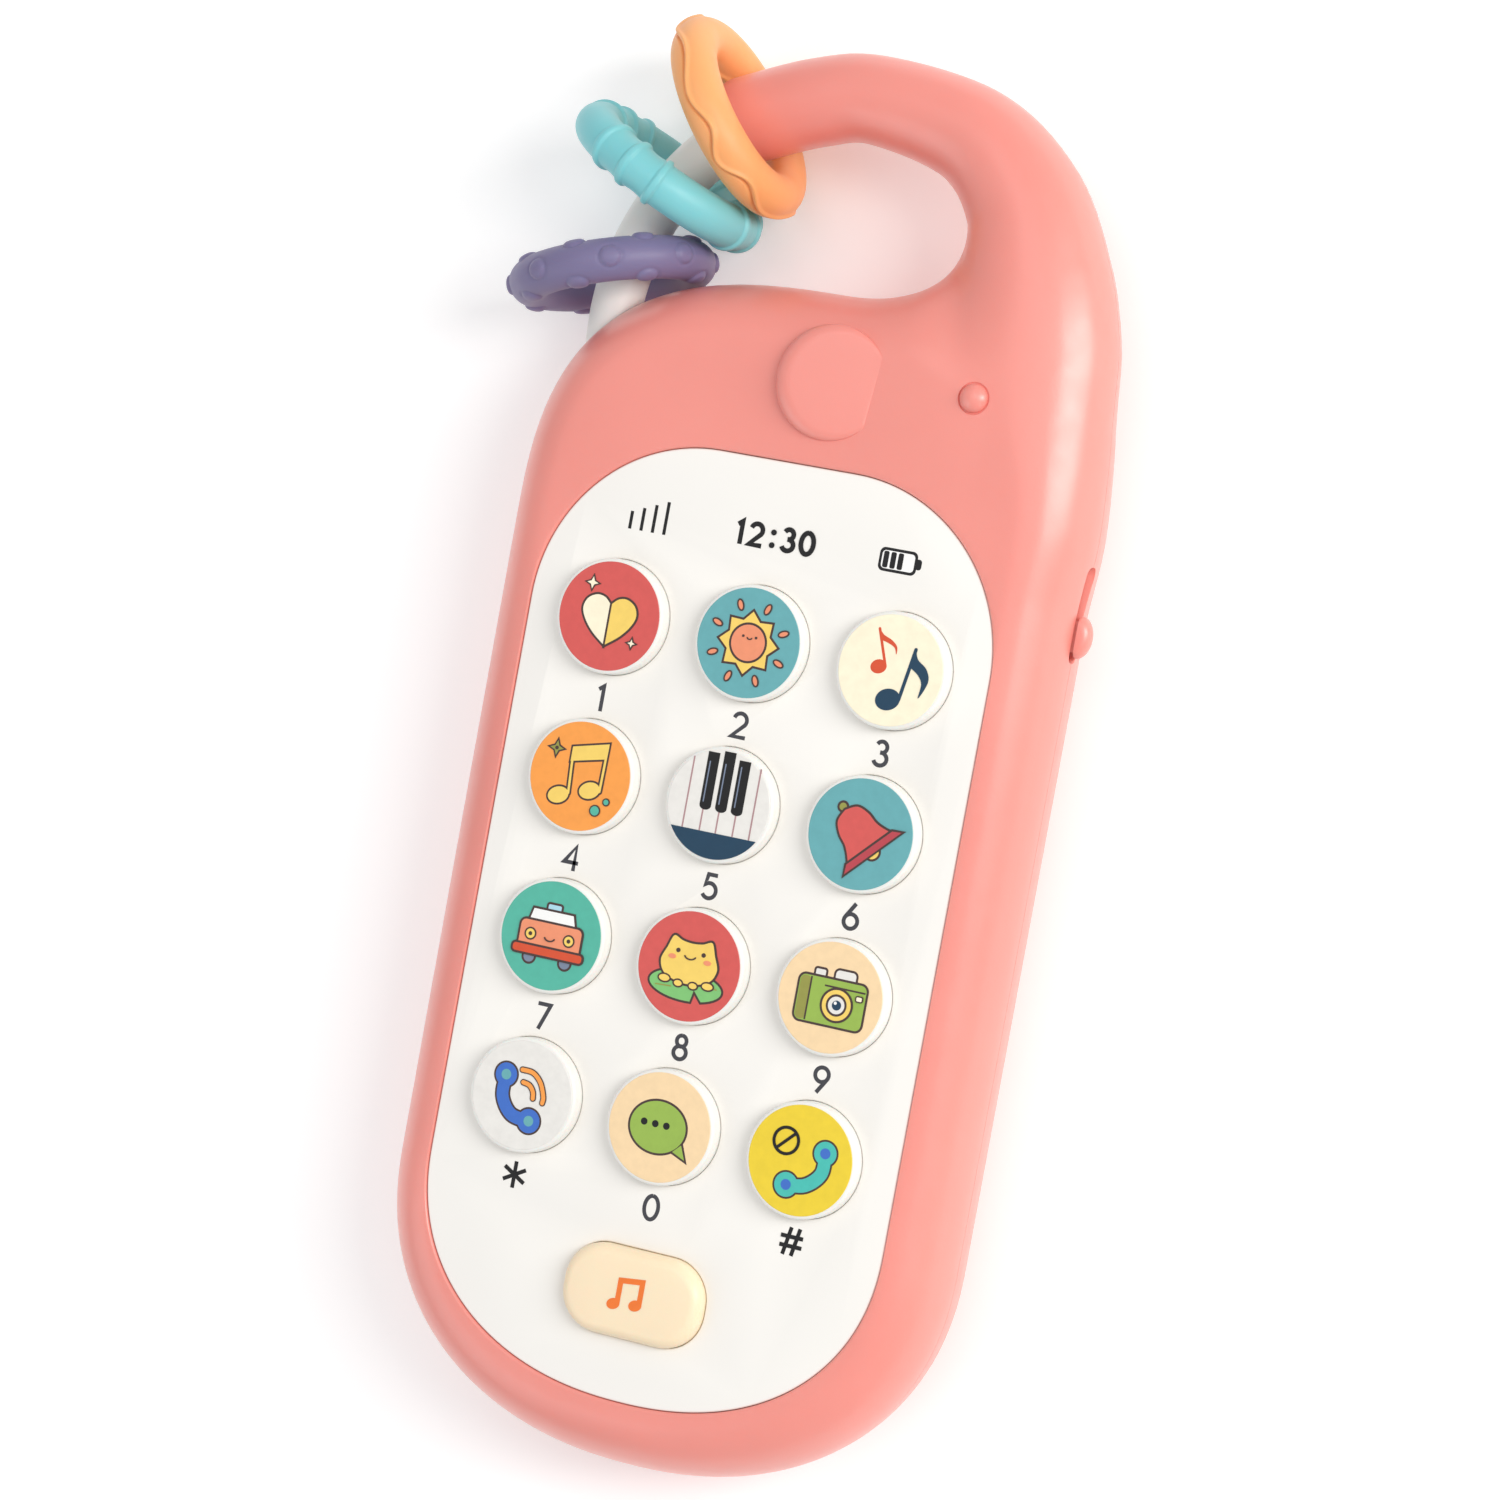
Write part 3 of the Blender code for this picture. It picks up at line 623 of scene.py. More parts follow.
def casing_solid():
    """The casing's whole outer surface, meshed on a grid and then drawn onto the exact surface."""
    low = np.array([-HALF_WIDTH - 3, FOOT_CENTRE_Y - FOOT_REACH - 3, -2.5])
    high = np.array([HALF_WIDTH + 4, 107.0, FACE_Z + 2.5])
    sizes = np.ceil((high - low) / NET_STEP).astype(int)
    axes = [low[n] + NET_STEP * np.arange(sizes[n]) for n in range(3)]
    grid = np.stack(np.meshgrid(*axes, indexing="ij"), -1)
    values = casing_field(grid.reshape(-1, 3)).reshape(grid.shape[:3])
    total, count = net_vertices(values)
    cells = np.argwhere(count > 0)
    index = np.full(count.shape, -1)
    index[tuple(cells.T)] = np.arange(len(cells))
    points = cells + total[tuple(cells.T)] / count[tuple(cells.T)][:, None]
    points = low + points * NET_STEP
    for _ in range(4):
        points = drawn_onto_surface(points)
    faces = net_faces(values, index)
    return mesh_object("casing_solid", points, faces.tolist(), [], outward=False)


def drawn_onto_surface(points):
    """The points after one Newton step towards the surface."""
    nudge = 0.02
    value = casing_field(points)
    slope = np.zeros_like(points)
    for axis in range(3):
        shift = np.zeros(3)
        shift[axis] = nudge
        slope[:, axis] = (casing_field(points + shift) - casing_field(points - shift)) / (2 * nudge)
    steep = np.maximum((slope**2).sum(1), 0.05)
    move = np.clip(value / steep, -0.6, 0.6)
    return points - slope * move[:, None]


def cavity(name, depth, edge, limit_z, start_z):
    """The hollow inside one half of the casing, rounded like its outside and stopped at limit_z."""
    rows = [(WALL, start_z)]
    steps = 8
    for i in range(steps + 1):
        t = math.pi / 2 * i / steps
        inset = WALL + edge * (1 - math.cos(t))
        z = PARTING_Z + depth * math.sin(t)
        past = (z - limit_z) * depth >= 0
        rows.append((inset, limit_z if past else z))
        if past:
            break
    return loft(name, levels(lambda inset: casing_outline(inset, 40), rows))


def bar_point(degrees):
    t = math.radians(degrees)
    return BAR_CENTRE[0] + BAR_REACH * math.cos(t), BAR_CENTRE[1] + BAR_REACH * math.sin(t)


def bar_solid(name, grow, material=None):
    """The ring bar, with a thick knob at each end that the casing halves trap."""
    knob_step, spans = 0.4, 60
    low, high = BAR_START_DEG + BAR_KNOB_DEG, BAR_END_DEG - BAR_KNOB_DEG
    first, last = low + knob_step, high - knob_step
    angles = [BAR_START_DEG, low] + [first + (last - first) * i / spans for i in range(spans + 1)]
    angles += [high, BAR_END_DEG]
    path = [Vector((*bar_point(angle), PARTING_Z)) for angle in angles]
    rings = []
    for i, point in enumerate(path):
        along = (path[min(i + 1, len(path) - 1)] - path[max(i - 1, 0)]).normalized()
        side = along.cross(Vector((0, 0, 1))).normalized()
        up = side.cross(along)
        at_end = min(angles[i] - BAR_START_DEG, BAR_END_DEG - angles[i]) <= BAR_KNOB_DEG
        radius = (BAR_KNOB_RADIUS if at_end else BAR_RADIUS) + grow
        rings.append([tuple(point + side * a + up * b) for a, b in ellipse(0, 0, radius, steps=40)])
    return loft(name, rings, material)


def button_centre(node):
    low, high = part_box(node)
    return (low.x + high.x) / 2 / MM, (low.y + high.y) / 2 / MM


def button_nodes():
    return sorted(name for name in frame["nodes"] if name.startswith("button_"))


def mode_outline(grow, steps=10):
    x, y = button_centre("mode_button")
    half_x, half_y = MODE_SIZE[0] / 2 + grow, MODE_SIZE[1] / 2 + grow
    return rounded_box(x - half_x, y - half_y, x + half_x, y + half_y, MODE_CORNER + grow, steps)


def ear():
    """A round ear cut straight on its right, where it is almost flush, and highest on its left edge."""
    (ear_x, ear_y), slant = EAR_CENTRE, 0.09
    left_x = ear_x - EAR_RADIUS

    def rise(x):
        share = (x - left_x) / (EAR_RIGHT_X - left_x)
        return EAR_LEFT_RISE + (EAR_RIGHT_RISE - EAR_LEFT_RISE) * share

    circle = ellipse(ear_x, ear_y, EAR_RADIUS, steps=96)
    outline = [(min(x, EAR_RIGHT_X + slant * (y - ear_y)), y) for x, y in circle]
    rings = [[(x, y, FACE_Z - 1.2) for x, y in outline]]
    for across, down in rounding(1.0, 0.9, (0, 12, 24, 36, 50, 64, 77, 90)):
        ring = []
        for x, y in outline:
            high = rise(x)
            share = (0.35 + 1.1 * high) * across / EAR_RADIUS
            x, y = x + (ear_x - x) * share, y + (ear_y - y) * share
            ring.append((x, y, FACE_Z + rise(x) - high * down))
        rings.append(ring)
    return loft("ear_relief", rings)


def eye_groove():
    outer = EYE_RADIUS + 0.3
    profile = [(outer + 0.15, FACE_Z + 1), (outer, FACE_Z)]
    profile += [(outer - 0.15, FACE_Z - 0.3), (EYE_RADIUS - 0.5, FACE_Z - 0.4)]
    return turned("eye_groove", profile, EYE_CENTRE, 48)


def eye_dome():
    rise = 1.15
    profile = [(EYE_RADIUS, FACE_Z - 1.0)]
    for i in range(9):
        t = math.radians(88 * i / 8)
        profile.append((EYE_RADIUS * math.cos(t), FACE_Z - 0.15 + rise * math.sin(t)))
    return turned("eye_dome", profile, EYE_CENTRE, 48)


def switch_cutter():
    """The slot in the casing's side, with a bevelled mouth."""
    (low_y, high_y), (low_z, high_z), corner = SLOT_Y, SLOT_Z, 0.7
    rings = []
    for x, out in ((33.0, 0.0), (37.2, 0.0), (37.75, 0.35), (42.0, 0.35)):
        outline = rounded_box(low_y - out, low_z - out, high_y + out, high_z + out, corner + out, 5)
        rings.append([(x, y, z) for y, z in outline])
    return loft("switch_slot", rings)


def half_of(solid, name, low_z, high_z):
    """The part of the casing's solid between two heights."""
    space = box("space", (-60, -90, low_z), (60, 120, high_z))
    return combined(linked(name, solid.data.copy()), "INTERSECT", space)


def hole_outline(node, grow):
    if node == "mode_button":
        return mode_outline(MODE_GAP + grow)
    return ellipse(*button_centre(node), BUTTON_HOLE_RADIUS + grow, steps=72)


def button_holes(name, low_z, edge_z, lip):
    """Cutters for the twelve round holes and the long one, as one object."""
    holes = []
    for node in [*button_nodes(), "mode_button"]:
        holes.append(lipped_cutter(f"hole_{node}", partial(hole_outline, node), low_z, edge_z, lip))
    return joined(name, holes)


def front_shell(solid, material):
    """The front half: hollow, with the panel's recess, the holes, the ear and the eye."""
    half = half_of(solid, "front_casing", PARTING_Z + SEAM, 40)
    hollow = cavity("front_hollow", FACE_Z - PARTING_Z, FRONT_ROUNDING, FLOOR_LOW_Z, PARTING_Z - 1)
    bosses = [cylinder("boss", place, 3.6, 5, 30, 32) for place in CASE_SCREWS]
    hollow = combined(hollow, "DIFFERENCE", *bosses)
    pilots = [cylinder("pilot", place, SCREW_RADIUS + GAP, 10.0, 17.0, 24) for place in CASE_SCREWS]
    recess = lipped_cutter("recess", lambda grow: panel_outline(PANEL_GAP + grow), FLOOR_HIGH_Z, FACE_Z, 0.3)
    holes = button_holes("holes", 17.0, FLOOR_HIGH_Z, 0.2)
    half = combined(half, "DIFFERENCE", hollow, recess, holes, joined("pilots", pilots), eye_groove())
    half = combined(half, "UNION", ear(), eye_dome())
    half = combined(half, "DIFFERENCE", switch_cutter(), bar_solid("front_socket", SOCKET_GAP))
    return place_piece(finished(half, material), "casing", ["front_shell"])


def door_outline(grow):
    """The battery door with its round screw tab at the foot."""
    low_y, high_y = DOOR_Y[0] - grow, DOOR_Y[1] + grow
    half, radius = DOOR_HALF_WIDTH + grow, 2.0 + grow
    tab = DOOR_TAB_RADIUS + grow
    drop = low_y - DOOR_SCREW[1]
    reach = math.degrees(math.asin(min(drop / tab, 1)))
    found = ellipse(half - radius, high_y - radius, radius, steps=8, start=0, end=90)
    found += ellipse(radius - half, high_y - radius, radius, steps=8, start=90, end=180)
    found += ellipse(radius - half, low_y + radius, radius, steps=8, start=180, end=270)
    found += ellipse(*DOOR_SCREW, tab, steps=24, start=180 - reach, end=360 + reach)
    found += ellipse(half - radius, low_y + radius, radius, steps=8, start=270, end=360)
    return found


def rear_hollow():
    """The space inside the rear half, less the walls and bosses that stand in it."""
    hollow = cavity("rear_hollow", -PARTING_Z, REAR_ROUNDING, WALL, PARTING_Z + 1)
    wall, low_z = 1.3, -1
    half = BAY_HALF_LENGTH + wall
    kept = [
        box("bay_walls", (-half, BAY_Y[0] - wall, low_z), (half, BAY_Y[1] + wall, 13.1)),
        box("door_frame", (-28.0, DOOR_Y[0] - 2.0, low_z), (28.0, DOOR_Y[1] + 2.0, 3.8)),
        cylinder("door_boss", DOOR_SCREW, 6.2, low_z, 9.0),
        cylinder("speaker_rim", SPEAKER_CENTRE, SPEAKER_RADIUS + 1.7, low_z, 6.0, 64),
    ]
    kept += [cylinder("rear_boss", place, 4.6, low_z, 30, 32) for place in CASE_SCREWS]
    return combined(hollow, "DIFFERENCE", *kept)


def speaker_holes():
    places = [SPEAKER_CENTRE]
    for radius, count in ((4.0, 6), (8.0, 10)):
        places += ellipse(*SPEAKER_CENTRE, radius, steps=count)
    profile = [(0.95, 3.0), (0.95, 0.35), (1.25, 0.0), (1.25, -1.0)]
    return joined("speaker_holes", [turned("speaker_hole", profile, place, 24) for place in places])


def screw_sockets():
    pilot, well = SCREW_RADIUS + GAP, 3.3
    profile = [(pilot, 15.0), (pilot, SCREW_SEAT_Z), (well, SCREW_SEAT_Z)]
    profile += [(well, 1.0), (well + 0.3, -0.5), (well + 0.3, -1.0)]
    return joined("screw_sockets", [turned("screw_socket", profile, place, 40) for place in CASE_SCREWS])


def rear_shell(solid, material):
    """The rear half: hollow, with the battery bay, the screw wells and the speaker's grille."""
    half = combined(
        half_of(solid, "rear_casing", -10, PARTING_Z - SEAM),
        "DIFFERENCE",
        rear_hollow(),
        box("bay", (-BAY_HALF_LENGTH, BAY_Y[0], -2.0), (BAY_HALF_LENGTH, BAY_Y[1], BAY_HIGH_Z)),
        loft("door_recess", levels(door_outline, ((GAP, 1.9), (GAP, 0.3), (2 * GAP, 0.0), (2 * GAP, -1.0)))),
        cylinder("door_pilot", DOOR_SCREW, SCREW_RADIUS + GAP, 0.0, 8.0, 24),
        cylinder("speaker_seat", SPEAKER_CENTRE, SPEAKER_RADIUS + GAP, WALL, 8.0, 64),
        screw_sockets(),
        speaker_holes(),
        switch_cutter(),
        bar_solid("rear_socket", SOCKET_GAP),
    )
    return place_piece(finished(half, material), "casing", ["rear_shell"])


def casing(pink):
    solid = casing_solid()
    front_shell(solid, pink)
    rear_shell(solid, pink)
    bpy.data.objects.remove(solid)


def face_panel(material):
    lip = 0.3
    rows = [(0.0, PANEL_LOW_Z), (0.0, PANEL_HIGH_Z - lip)]
    rows += [(-inset, PANEL_HIGH_Z - drop) for inset, drop in rounding(lip, lip, (22, 45, 67, 90))]
    panel = loft("face_panel_plate", levels(panel_outline, rows))
    panel = combined(panel, "DIFFERENCE", button_holes("panel_holes", 19.0, PANEL_HIGH_Z, 0.25))
    return place_piece(finished(panel, material), "casing", ["face_panel"])


# Printed marks

FILM = 0.016  # how much higher each layer of ink lies than the one below
STAGGER = 0.001  # how much higher each shape of a layer lies than the one before
SUNK = 0.05  # how far the ink reaches into the face
EDGE = 0.14  # half the width of the dark line round each shape


def facing_left(outline):
    """The outline counter-clockwise."""
    area = sum(a[0] * b[1] - b[0] * a[1] for a, b in zip(outline, outline[1:] + outline[:1]))
    return outline if area > 0 else outline[::-1]


def offset_point(before, here, after, amount):
    """here moved square to the line through its neighbours, by amount to the line's right."""
    normals = []
    for a, b in ((before, here), (here, after)):
        length = max(math.hypot(b[0] - a[0], b[1] - a[1]), 1e-9)
        normals.append(((b[1] - a[1]) / length, (a[0] - b[0]) / length))
    (ax, ay), (bx, by) = normals
    scale = amount / max(1 + ax * bx + ay * by, 0.35)
    return here[0] + (ax + bx) * scale, here[1] + (ay + by) * scale


def grown(outline, amount):
    outline = facing_left(outline)
    count = len(outline)
    return [offset_point(outline[i - 1], outline[i], outline[(i + 1) % count], amount) for i in range(count)]


def moved(outline, x=0.0, y=0.0, turn=0.0, scale=1.0):
    c, s = math.cos(math.radians(turn)) * scale, math.sin(math.radians(turn)) * scale
    return [(x + px * c - py * s, y + px * s + py * c) for px, py in outline]


def mirrored(points):
    """Points on the right followed by their mirror images on the left, in reverse."""
    return list(points) + [(-x, y) for x, y in reversed(points) if abs(x) > 1e-6]


def stroke(points, width, round_ends=True):
    """The outline of a pen stroke along points."""
    last = len(points) - 1
    sides = []
    for amount in (width / 2, -width / 2):
        side = []
        for i, here in enumerate(points):
            before = points[i - 1] if i else (2 * here[0] - points[1][0], 2 * here[1] - points[1][1])
            after = points[i + 1] if i < last else (2 * here[0] - points[-2][0], 2 * here[1] - points[-2][1])
            side.append(offset_point(before, here, after, amount))
        sides.append(side)
    right, left = sides
    if not round_ends:
        return right + left[::-1]

    def end_cap(centre, start):
        angle = math.degrees(math.atan2(start[1] - centre[1], start[0] - centre[0]))
        return ellipse(*centre, width / 2, steps=8, start=angle, end=angle + 180)[1:-1]

    return right + end_cap(points[-1], right[-1]) + left[::-1] + end_cap(points[0], left[0])


def sparkle(x, y, reach):
    points = []
    for k in range(8):
        t = math.pi / 4 * k
        r = reach if k % 2 == 0 else reach * 0.42
        points.append((x + r * math.cos(t), y + r * math.sin(t)))
    return points


def dots(places, radius, steps=20):
    return [ellipse(x, y, radius, steps=steps) for x, y in places]


def bow(x, y, across, high, steps=8):
    """The lower part of an ellipse, as a smiling mouth."""
    return ellipse(x, y, across, high, steps=steps, start=200, end=340)


class Print:
    """Inked shapes on a flat face. Each layer is a thin film, a little higher than the one before."""

    def __init__(self, name, centre, base_z):
        self.name, self.centre, self.base, self.top = name, centre, base_z, base_z
        self.vertices, self.faces, self.slots, self.inks = [], [], [], []

    def fill(self, colour, *outlines):
        """One layer of ink: a thin prism for each outline, sunk a little into the face."""
        self.top += FILM
        if colour not in self.inks:
            self.inks.append(colour)
        for order, outline in enumerate(outlines):
            outline = facing_left(outline)
            first, count = len(self.vertices), len(outline)
            for z in (self.base - SUNK, self.top + STAGGER * order):
                self.vertices += [(self.centre[0] + x, self.centre[1] + y, z) for x, y in outline]
            self.faces.append(tuple(range(first + count, first + 2 * count)))
            self.faces.append(tuple(reversed(range(first, first + count))))
            for i in range(count):
                j = (i + 1) % count
                self.faces.append((first + i, first + j, first + count + j, first + count + i))
            self.slots += [self.inks.index(colour)] * (count + 2)

    def outlined(self, colour, *outlines, edge=EDGE, edge_ink="ink_dark"):
        self.fill(edge_ink, *[grown(outline, edge) for outline in outlines])
        self.fill(colour, *[grown(outline, -edge) for outline in outlines])

    def pen(self, colour, width, *paths, round_ends=True):
        self.fill(colour, *[stroke(path, width, round_ends) for path in paths])

    def made(self, body, slot):
        inks = [ink(name) for name in self.inks]
        obj = mesh_object(self.name, self.vertices, self.faces, inks, self.slots, outward=False)
        return place_piece(obj, body)


def draw_heart(p):
    """A heart in two tones between two sparkles."""
    half = smooth_path(
        [(0, 1.6), (0.9, 2.35), (2.1, 2.5), (3.3, 1.8), (3.75, 0.5), (3.2, -0.9), (1.9, -2.4), (0, -3.8)], 6
    )
    left = [(-x, y) for x, y in half]
    p.outlined("ink_cream", left)
    p.outlined("ink_lemon", half)
    p.outlined("ink_cream", sparkle(-2.9, 3.7, 0.95), sparkle(3.6, -2.8, 0.7), edge=0.09)


def draw_sun(p):
    """A sixteen-pointed sun with a plain face and eight short rays."""
    star = []
    for k in range(16):
        r = 4.05 if k % 2 == 0 else 3.0
        t = math.radians(90 + 22.5 * k)
        star.append((r * math.cos(t), r * math.sin(t)))
    p.outlined("ink_lemon", star)
    p.outlined("ink_blush", ellipse(0, 0, 2.35))
    rays = []
    for k in range(8):
        t = 22.5 + 45 * k
        place = (4.75 * math.cos(math.radians(t)), 4.75 * math.sin(math.radians(t)))
        rays.append(ellipse(*place, 0.68, 0.36, t, 20))
    p.outlined("ink_blush", *rays, edge=0.1)
    p.fill("ink_dark", *dots([(-0.75, 0.75), (0.95, 0.75)], 0.17, 14))
    p.pen("ink_dark", 0.16, bow(0.1, 0.7, 0.32, 0.26))


def note_head(x, y, across, high, turn=20.0):
    return ellipse(x, y, across, high, turn, 28)


def draw_notes(p):
    """A small rust note and a large navy one, each with a flag."""
    p.fill("ink_rust", note_head(-1.6, 0.2, 1.05, 0.85), stroke([(-0.75, 0.4), (-2.3, 4.7)], 0.34))
    flag = [(-2.3, 4.75), (-1.6, 4.05), (-0.5, 3.6), (0.3, 2.9)]
    flag += [(0.35, 2.0), (0.0, 2.75), (-1.0, 3.2), (-2.0, 3.4)]
    p.fill("ink_rust", smooth_path(flag, 5))
    p.fill("ink_navy", note_head(0.3, -3.5, 1.6, 1.3), stroke([(1.7, -3.3), (2.75, 3.0)], 0.42))
    flag = [(2.75, 3.2), (3.2, 1.9), (4.5, 0.9), (5.0, -0.6)]
    flag += [(4.1, -2.7), (4.2, -1.0), (3.6, 0.0), (2.55, 0.7)]
    p.fill("ink_navy", smooth_path(flag, 5))


def draw_beamed_notes(p):
    """Two notes under one beam, with a sparkle and two bubbles."""
    beam = [(-1.7, 1.5), (-1.7, 3.5), (3.3, 4.7), (3.25, 2.6)]
    stems = [stroke([(-1.45, 2.9), (-1.15, -2.3)], 0.5), stroke([(3.05, 4.2), (2.95, -1.4)], 0.5)]
    heads = [note_head(-2.45, -2.75, 1.5, 1.1), note_head(1.6, -1.5, 1.5, 1.1)]
    shapes = [beam] + stems + heads
    p.fill("ink_dark", *[grown(shape, EDGE) for shape in shapes])
    p.fill("ink_lemon", *[grown(shape, -0.1) for shape in shapes])
    p.outlined("ink_olive", sparkle(-3.7, 2.9, 1.15), edge=0.1)
    p.fill("ink_dark", ellipse(-3.7, 2.9, 0.24, steps=14))
    bubbles = [ellipse(2.8, -3.8, 0.66, steps=22), ellipse(4.1, -2.5, 0.42, steps=18)]
    p.outlined("ink_green", *bubbles, edge=0.08)


def draw_piano(p):
    """Three black keys between white ones, over a navy foot."""
    radius, half, black_keys = 6.68, 0.76, (-1.7, 0.4, 2.5)
    gaps = [[(x, 5.2 if abs(x) > 3 else -0.6), (x, -3.4)] for x in (-4.2, -1.9, 0.25, 2.5, 4.7)]
    p.pen("ink_mauve", 0.2, *gaps)
    keys = []
    for x in black_keys:
        top = math.sqrt(radius**2 - (abs(x) + half) ** 2)
        foot = ellipse(x, -0.35, half, 0.55, steps=10, start=180, end=360)
        keys.append([(x + half, top), (x - half, top)] + foot)
    p.fill("ink_black", *keys)
    p.pen("ink_slate", 0.16, *[[(x - 0.35, 5.0), (x - 0.35, 0.1)] for x in black_keys])
    chord = math.degrees(math.asin(3.5 / radius))
    p.fill("ink_navy", ellipse(0, 0, radius, steps=30, start=180 + chord, end=360 - chord))


def draw_bell(p):
    """A bell tilted by an eighth of a turn."""
    def tilted(outline):
        return moved(outline, 1.78, -1.7, 45)

    side = [(3.9, 0.0), (3.2, 0.9), (2.55, 2.4), (2.35, 4.0), (1.6, 5.5), (0, 6.1)]
    bell = mirrored(smooth_path(side, 6))
    p.outlined("ink_lemon", tilted(ellipse(0, -0.35, 0.95, 0.8, steps=24)))
    p.outlined("ink_olive", tilted(ellipse(0, 6.45, 0.62, 0.6, steps=20)))
    p.outlined("ink_red", tilted(bell))
    p.outlined("ink_rose", tilted([(-4.7, -0.5), (4.7, -0.5), (3.6, 0.55), (-3.6, 0.55)]))


def draw_van(p):
    """A van from the front, with lamps and a plain smile."""
    p.outlined("ink_slate", *dots([(-2.45, -3.0), (2.45, -3.0)], 0.85, 24))
    p.outlined("ink_sky", rounded_box(-1.1, 3.0, 0.95, 3.95, 0.3, 5))
    cab = [(-3.4, 1.1), (-2.9, 3.1), (2.7, 3.1), (3.3, 1.1)]
    p.outlined("ink_white", cab)
    p.outlined("ink_blush", rounded_box(-4.3, -2.2, 4.25, 1.6, 0.8, 6))
    p.outlined("ink_rust", rounded_box(-4.9, -2.75, 4.8, -1.5, 0.5, 5))
    lamps = [(-2.7, -0.2), (2.55, -0.2)]
    p.outlined("ink_lemon", *dots(lamps, 0.7), edge=0.1)
    p.fill("ink_dark", *dots(lamps, 0.26, 14))
    p.pen("ink_dark", 0.18, bow(-0.05, -0.2, 0.7, 0.5, 10))


def draw_frog(p):
    """A round frog with a plain face on a lily pad."""
    pad = ellipse(0, -2.4, 4.95, 1.95, steps=40, start=-62, end=282)
    p.outlined("ink_leaf", pad + [(1.3, -3.0)])
    p.pen("ink_olive", 0.16, [(-3.9, -2.9), (-1.9, -2.8)], [(2.6, -2.0), (4.1, -2.1)])
    left = [(-2.9, -1.6), (-3.9, 0.1), (-3.3, 1.9), (-2.6, 3.5), (-1.3, 3.1)]
    right = [(-x, y) for x, y in reversed(left)]
    body = [*left, (0, 2.95), *right, (0, -2.3)]
    p.outlined("ink_lemon", smooth_path(body, 6, closed=True))
    feet = [ellipse(x, -1.95, 0.8, 0.5, steps=18) for x in (-2.9, 2.9)]
    feet += [ellipse(x, -2.25, 0.62, 0.45, steps=18) for x in (-1.0, 1.0)]
    p.outlined("ink_lemon", *feet, edge=0.1)
    p.fill("ink_dark", *dots([(-1.7, 1.7), (1.7, 1.7)], 0.28, 16))
    p.fill("ink_blush", *[ellipse(x, 0.85, 0.5, 0.3, steps=16) for x in (-2.35, 2.35)])
    p.pen("ink_dark", 0.18, bow(0, 1.35, 0.75, 0.5, 10))


def draw_camera(p):
    """A camera with a ringed lens."""
    knob, finder = rounded_box(-2.5, 1.8, -0.95, 3.3, 0.3, 5), rounded_box(0.1, 1.8, 3.0, 3.6, 0.6, 6)
    p.outlined("ink_grey", knob, finder)
    p.outlined("ink_lime", rounded_box(-4.35, -3.45, 4.65, 2.35, 0.9, 7))
    p.fill("ink_olive", rounded_box(-4.1, -3.2, -2.75, 2.1, 0.6, 6))
    p.pen("ink_dark", 0.2, [(-2.75, 2.1), (-2.75, -3.2)], [(-0.9, 1.35), (4.4, 1.35)], round_ends=False)
    p.outlined("ink_lemon", ellipse(1.0, -0.75, 2.0))
    p.outlined("ink_grey", ellipse(1.0, -0.75, 1.2))
    p.fill("ink_navy", ellipse(1.05, -0.75, 0.6, steps=24))
    p.fill("ink_white", ellipse(0.85, -0.5, 0.2, steps=12))
    p.outlined("ink_cream", rounded_box(3.35, 0.2, 4.2, 0.85, 0.2, 4), edge=0.08)


def handset(p, colour, dot_colour, first, second, bends):
    """A telephone handset: two round ends on a curved handle."""
    handle = smooth_path([first, *bends, second], 8)
    shapes = [stroke(handle, 1.8), ellipse(*first, 1.55, steps=32), ellipse(*second, 1.6, steps=32)]
    p.fill("ink_dark", *[grown(shape, EDGE) for shape in shapes])
    p.fill(colour, *[grown(shape, -0.1) for shape in shapes])
    p.fill(dot_colour, *dots([first, second], 0.66))


def draw_call(p):
    """A handset with two waves of sound."""
    handset(p, "ink_blue", "ink_teal", (-2.55, 2.1), (1.5, -2.95), [(-2.55, -0.6), (-1.0, -2.6)])
    waves = [
        smooth_path([(-0.5, 3.1), (1.0, 3.0), (2.2, 2.0), (2.9, 0.4), (2.9, -0.4)], 5),
        smooth_path([(-0.1, 1.6), (0.8, 1.4), (1.4, 0.7), (1.55, -0.1)], 5),
    ]
    p.pen("ink_dark", 0.82, *waves)
    p.pen("ink_orange", 0.54, *waves)


def draw_bubble(p):
    """A speech bubble with three dots."""
    tail = [(2.0, -2.6), (4.2, -3.5), (3.3, -1.3)]
    body = ellipse(-0.2, 0, 3.85, 3.3, steps=60)
    p.fill("ink_dark", grown(body, EDGE), grown(tail, EDGE))
    p.fill("ink_lime", grown(body, -EDGE), grown(tail, -EDGE))
    p.fill("ink_black", *dots([(-2.1, 0.35), (-0.6, 0.35), (0.9, 0.35)], 0.44))


def draw_hang_up(p):
    """A handset and a barred circle."""
    handset(p, "ink_aqua", "ink_blue", (3.05, 1.5), (-1.25, -3.2), [(3.0, -1.0), (1.2, -2.8)])
    circle = ellipse(-2.2, 2.0, 1.6, steps=36, start=0, end=359.9)
    slash = [(-2.2 - 1.13, 2.0 - 1.13), (-2.2 + 1.13, 2.0 + 1.13)]
    p.pen("ink_black", 0.38, circle, slash, round_ends=False)


LABELS = {
    "button_1": ("ink_red", draw_heart),
    "button_2": ("ink_teal", draw_sun),
    "button_3": ("ink_cream", draw_notes),
    "button_4": ("ink_orange", draw_beamed_notes),
    "button_5": ("ink_grey", draw_piano),
    "button_6": ("ink_teal", draw_bell),
    "button_7": ("ink_green", draw_van),
    "button_8": ("ink_red", draw_frog),
    "button_9": ("ink_beige", draw_camera),
    "button_star": ("ink_grey", draw_call),
    "button_0": ("ink_beige", draw_bubble),
    "button_hash": ("ink_yellow", draw_hang_up),
}

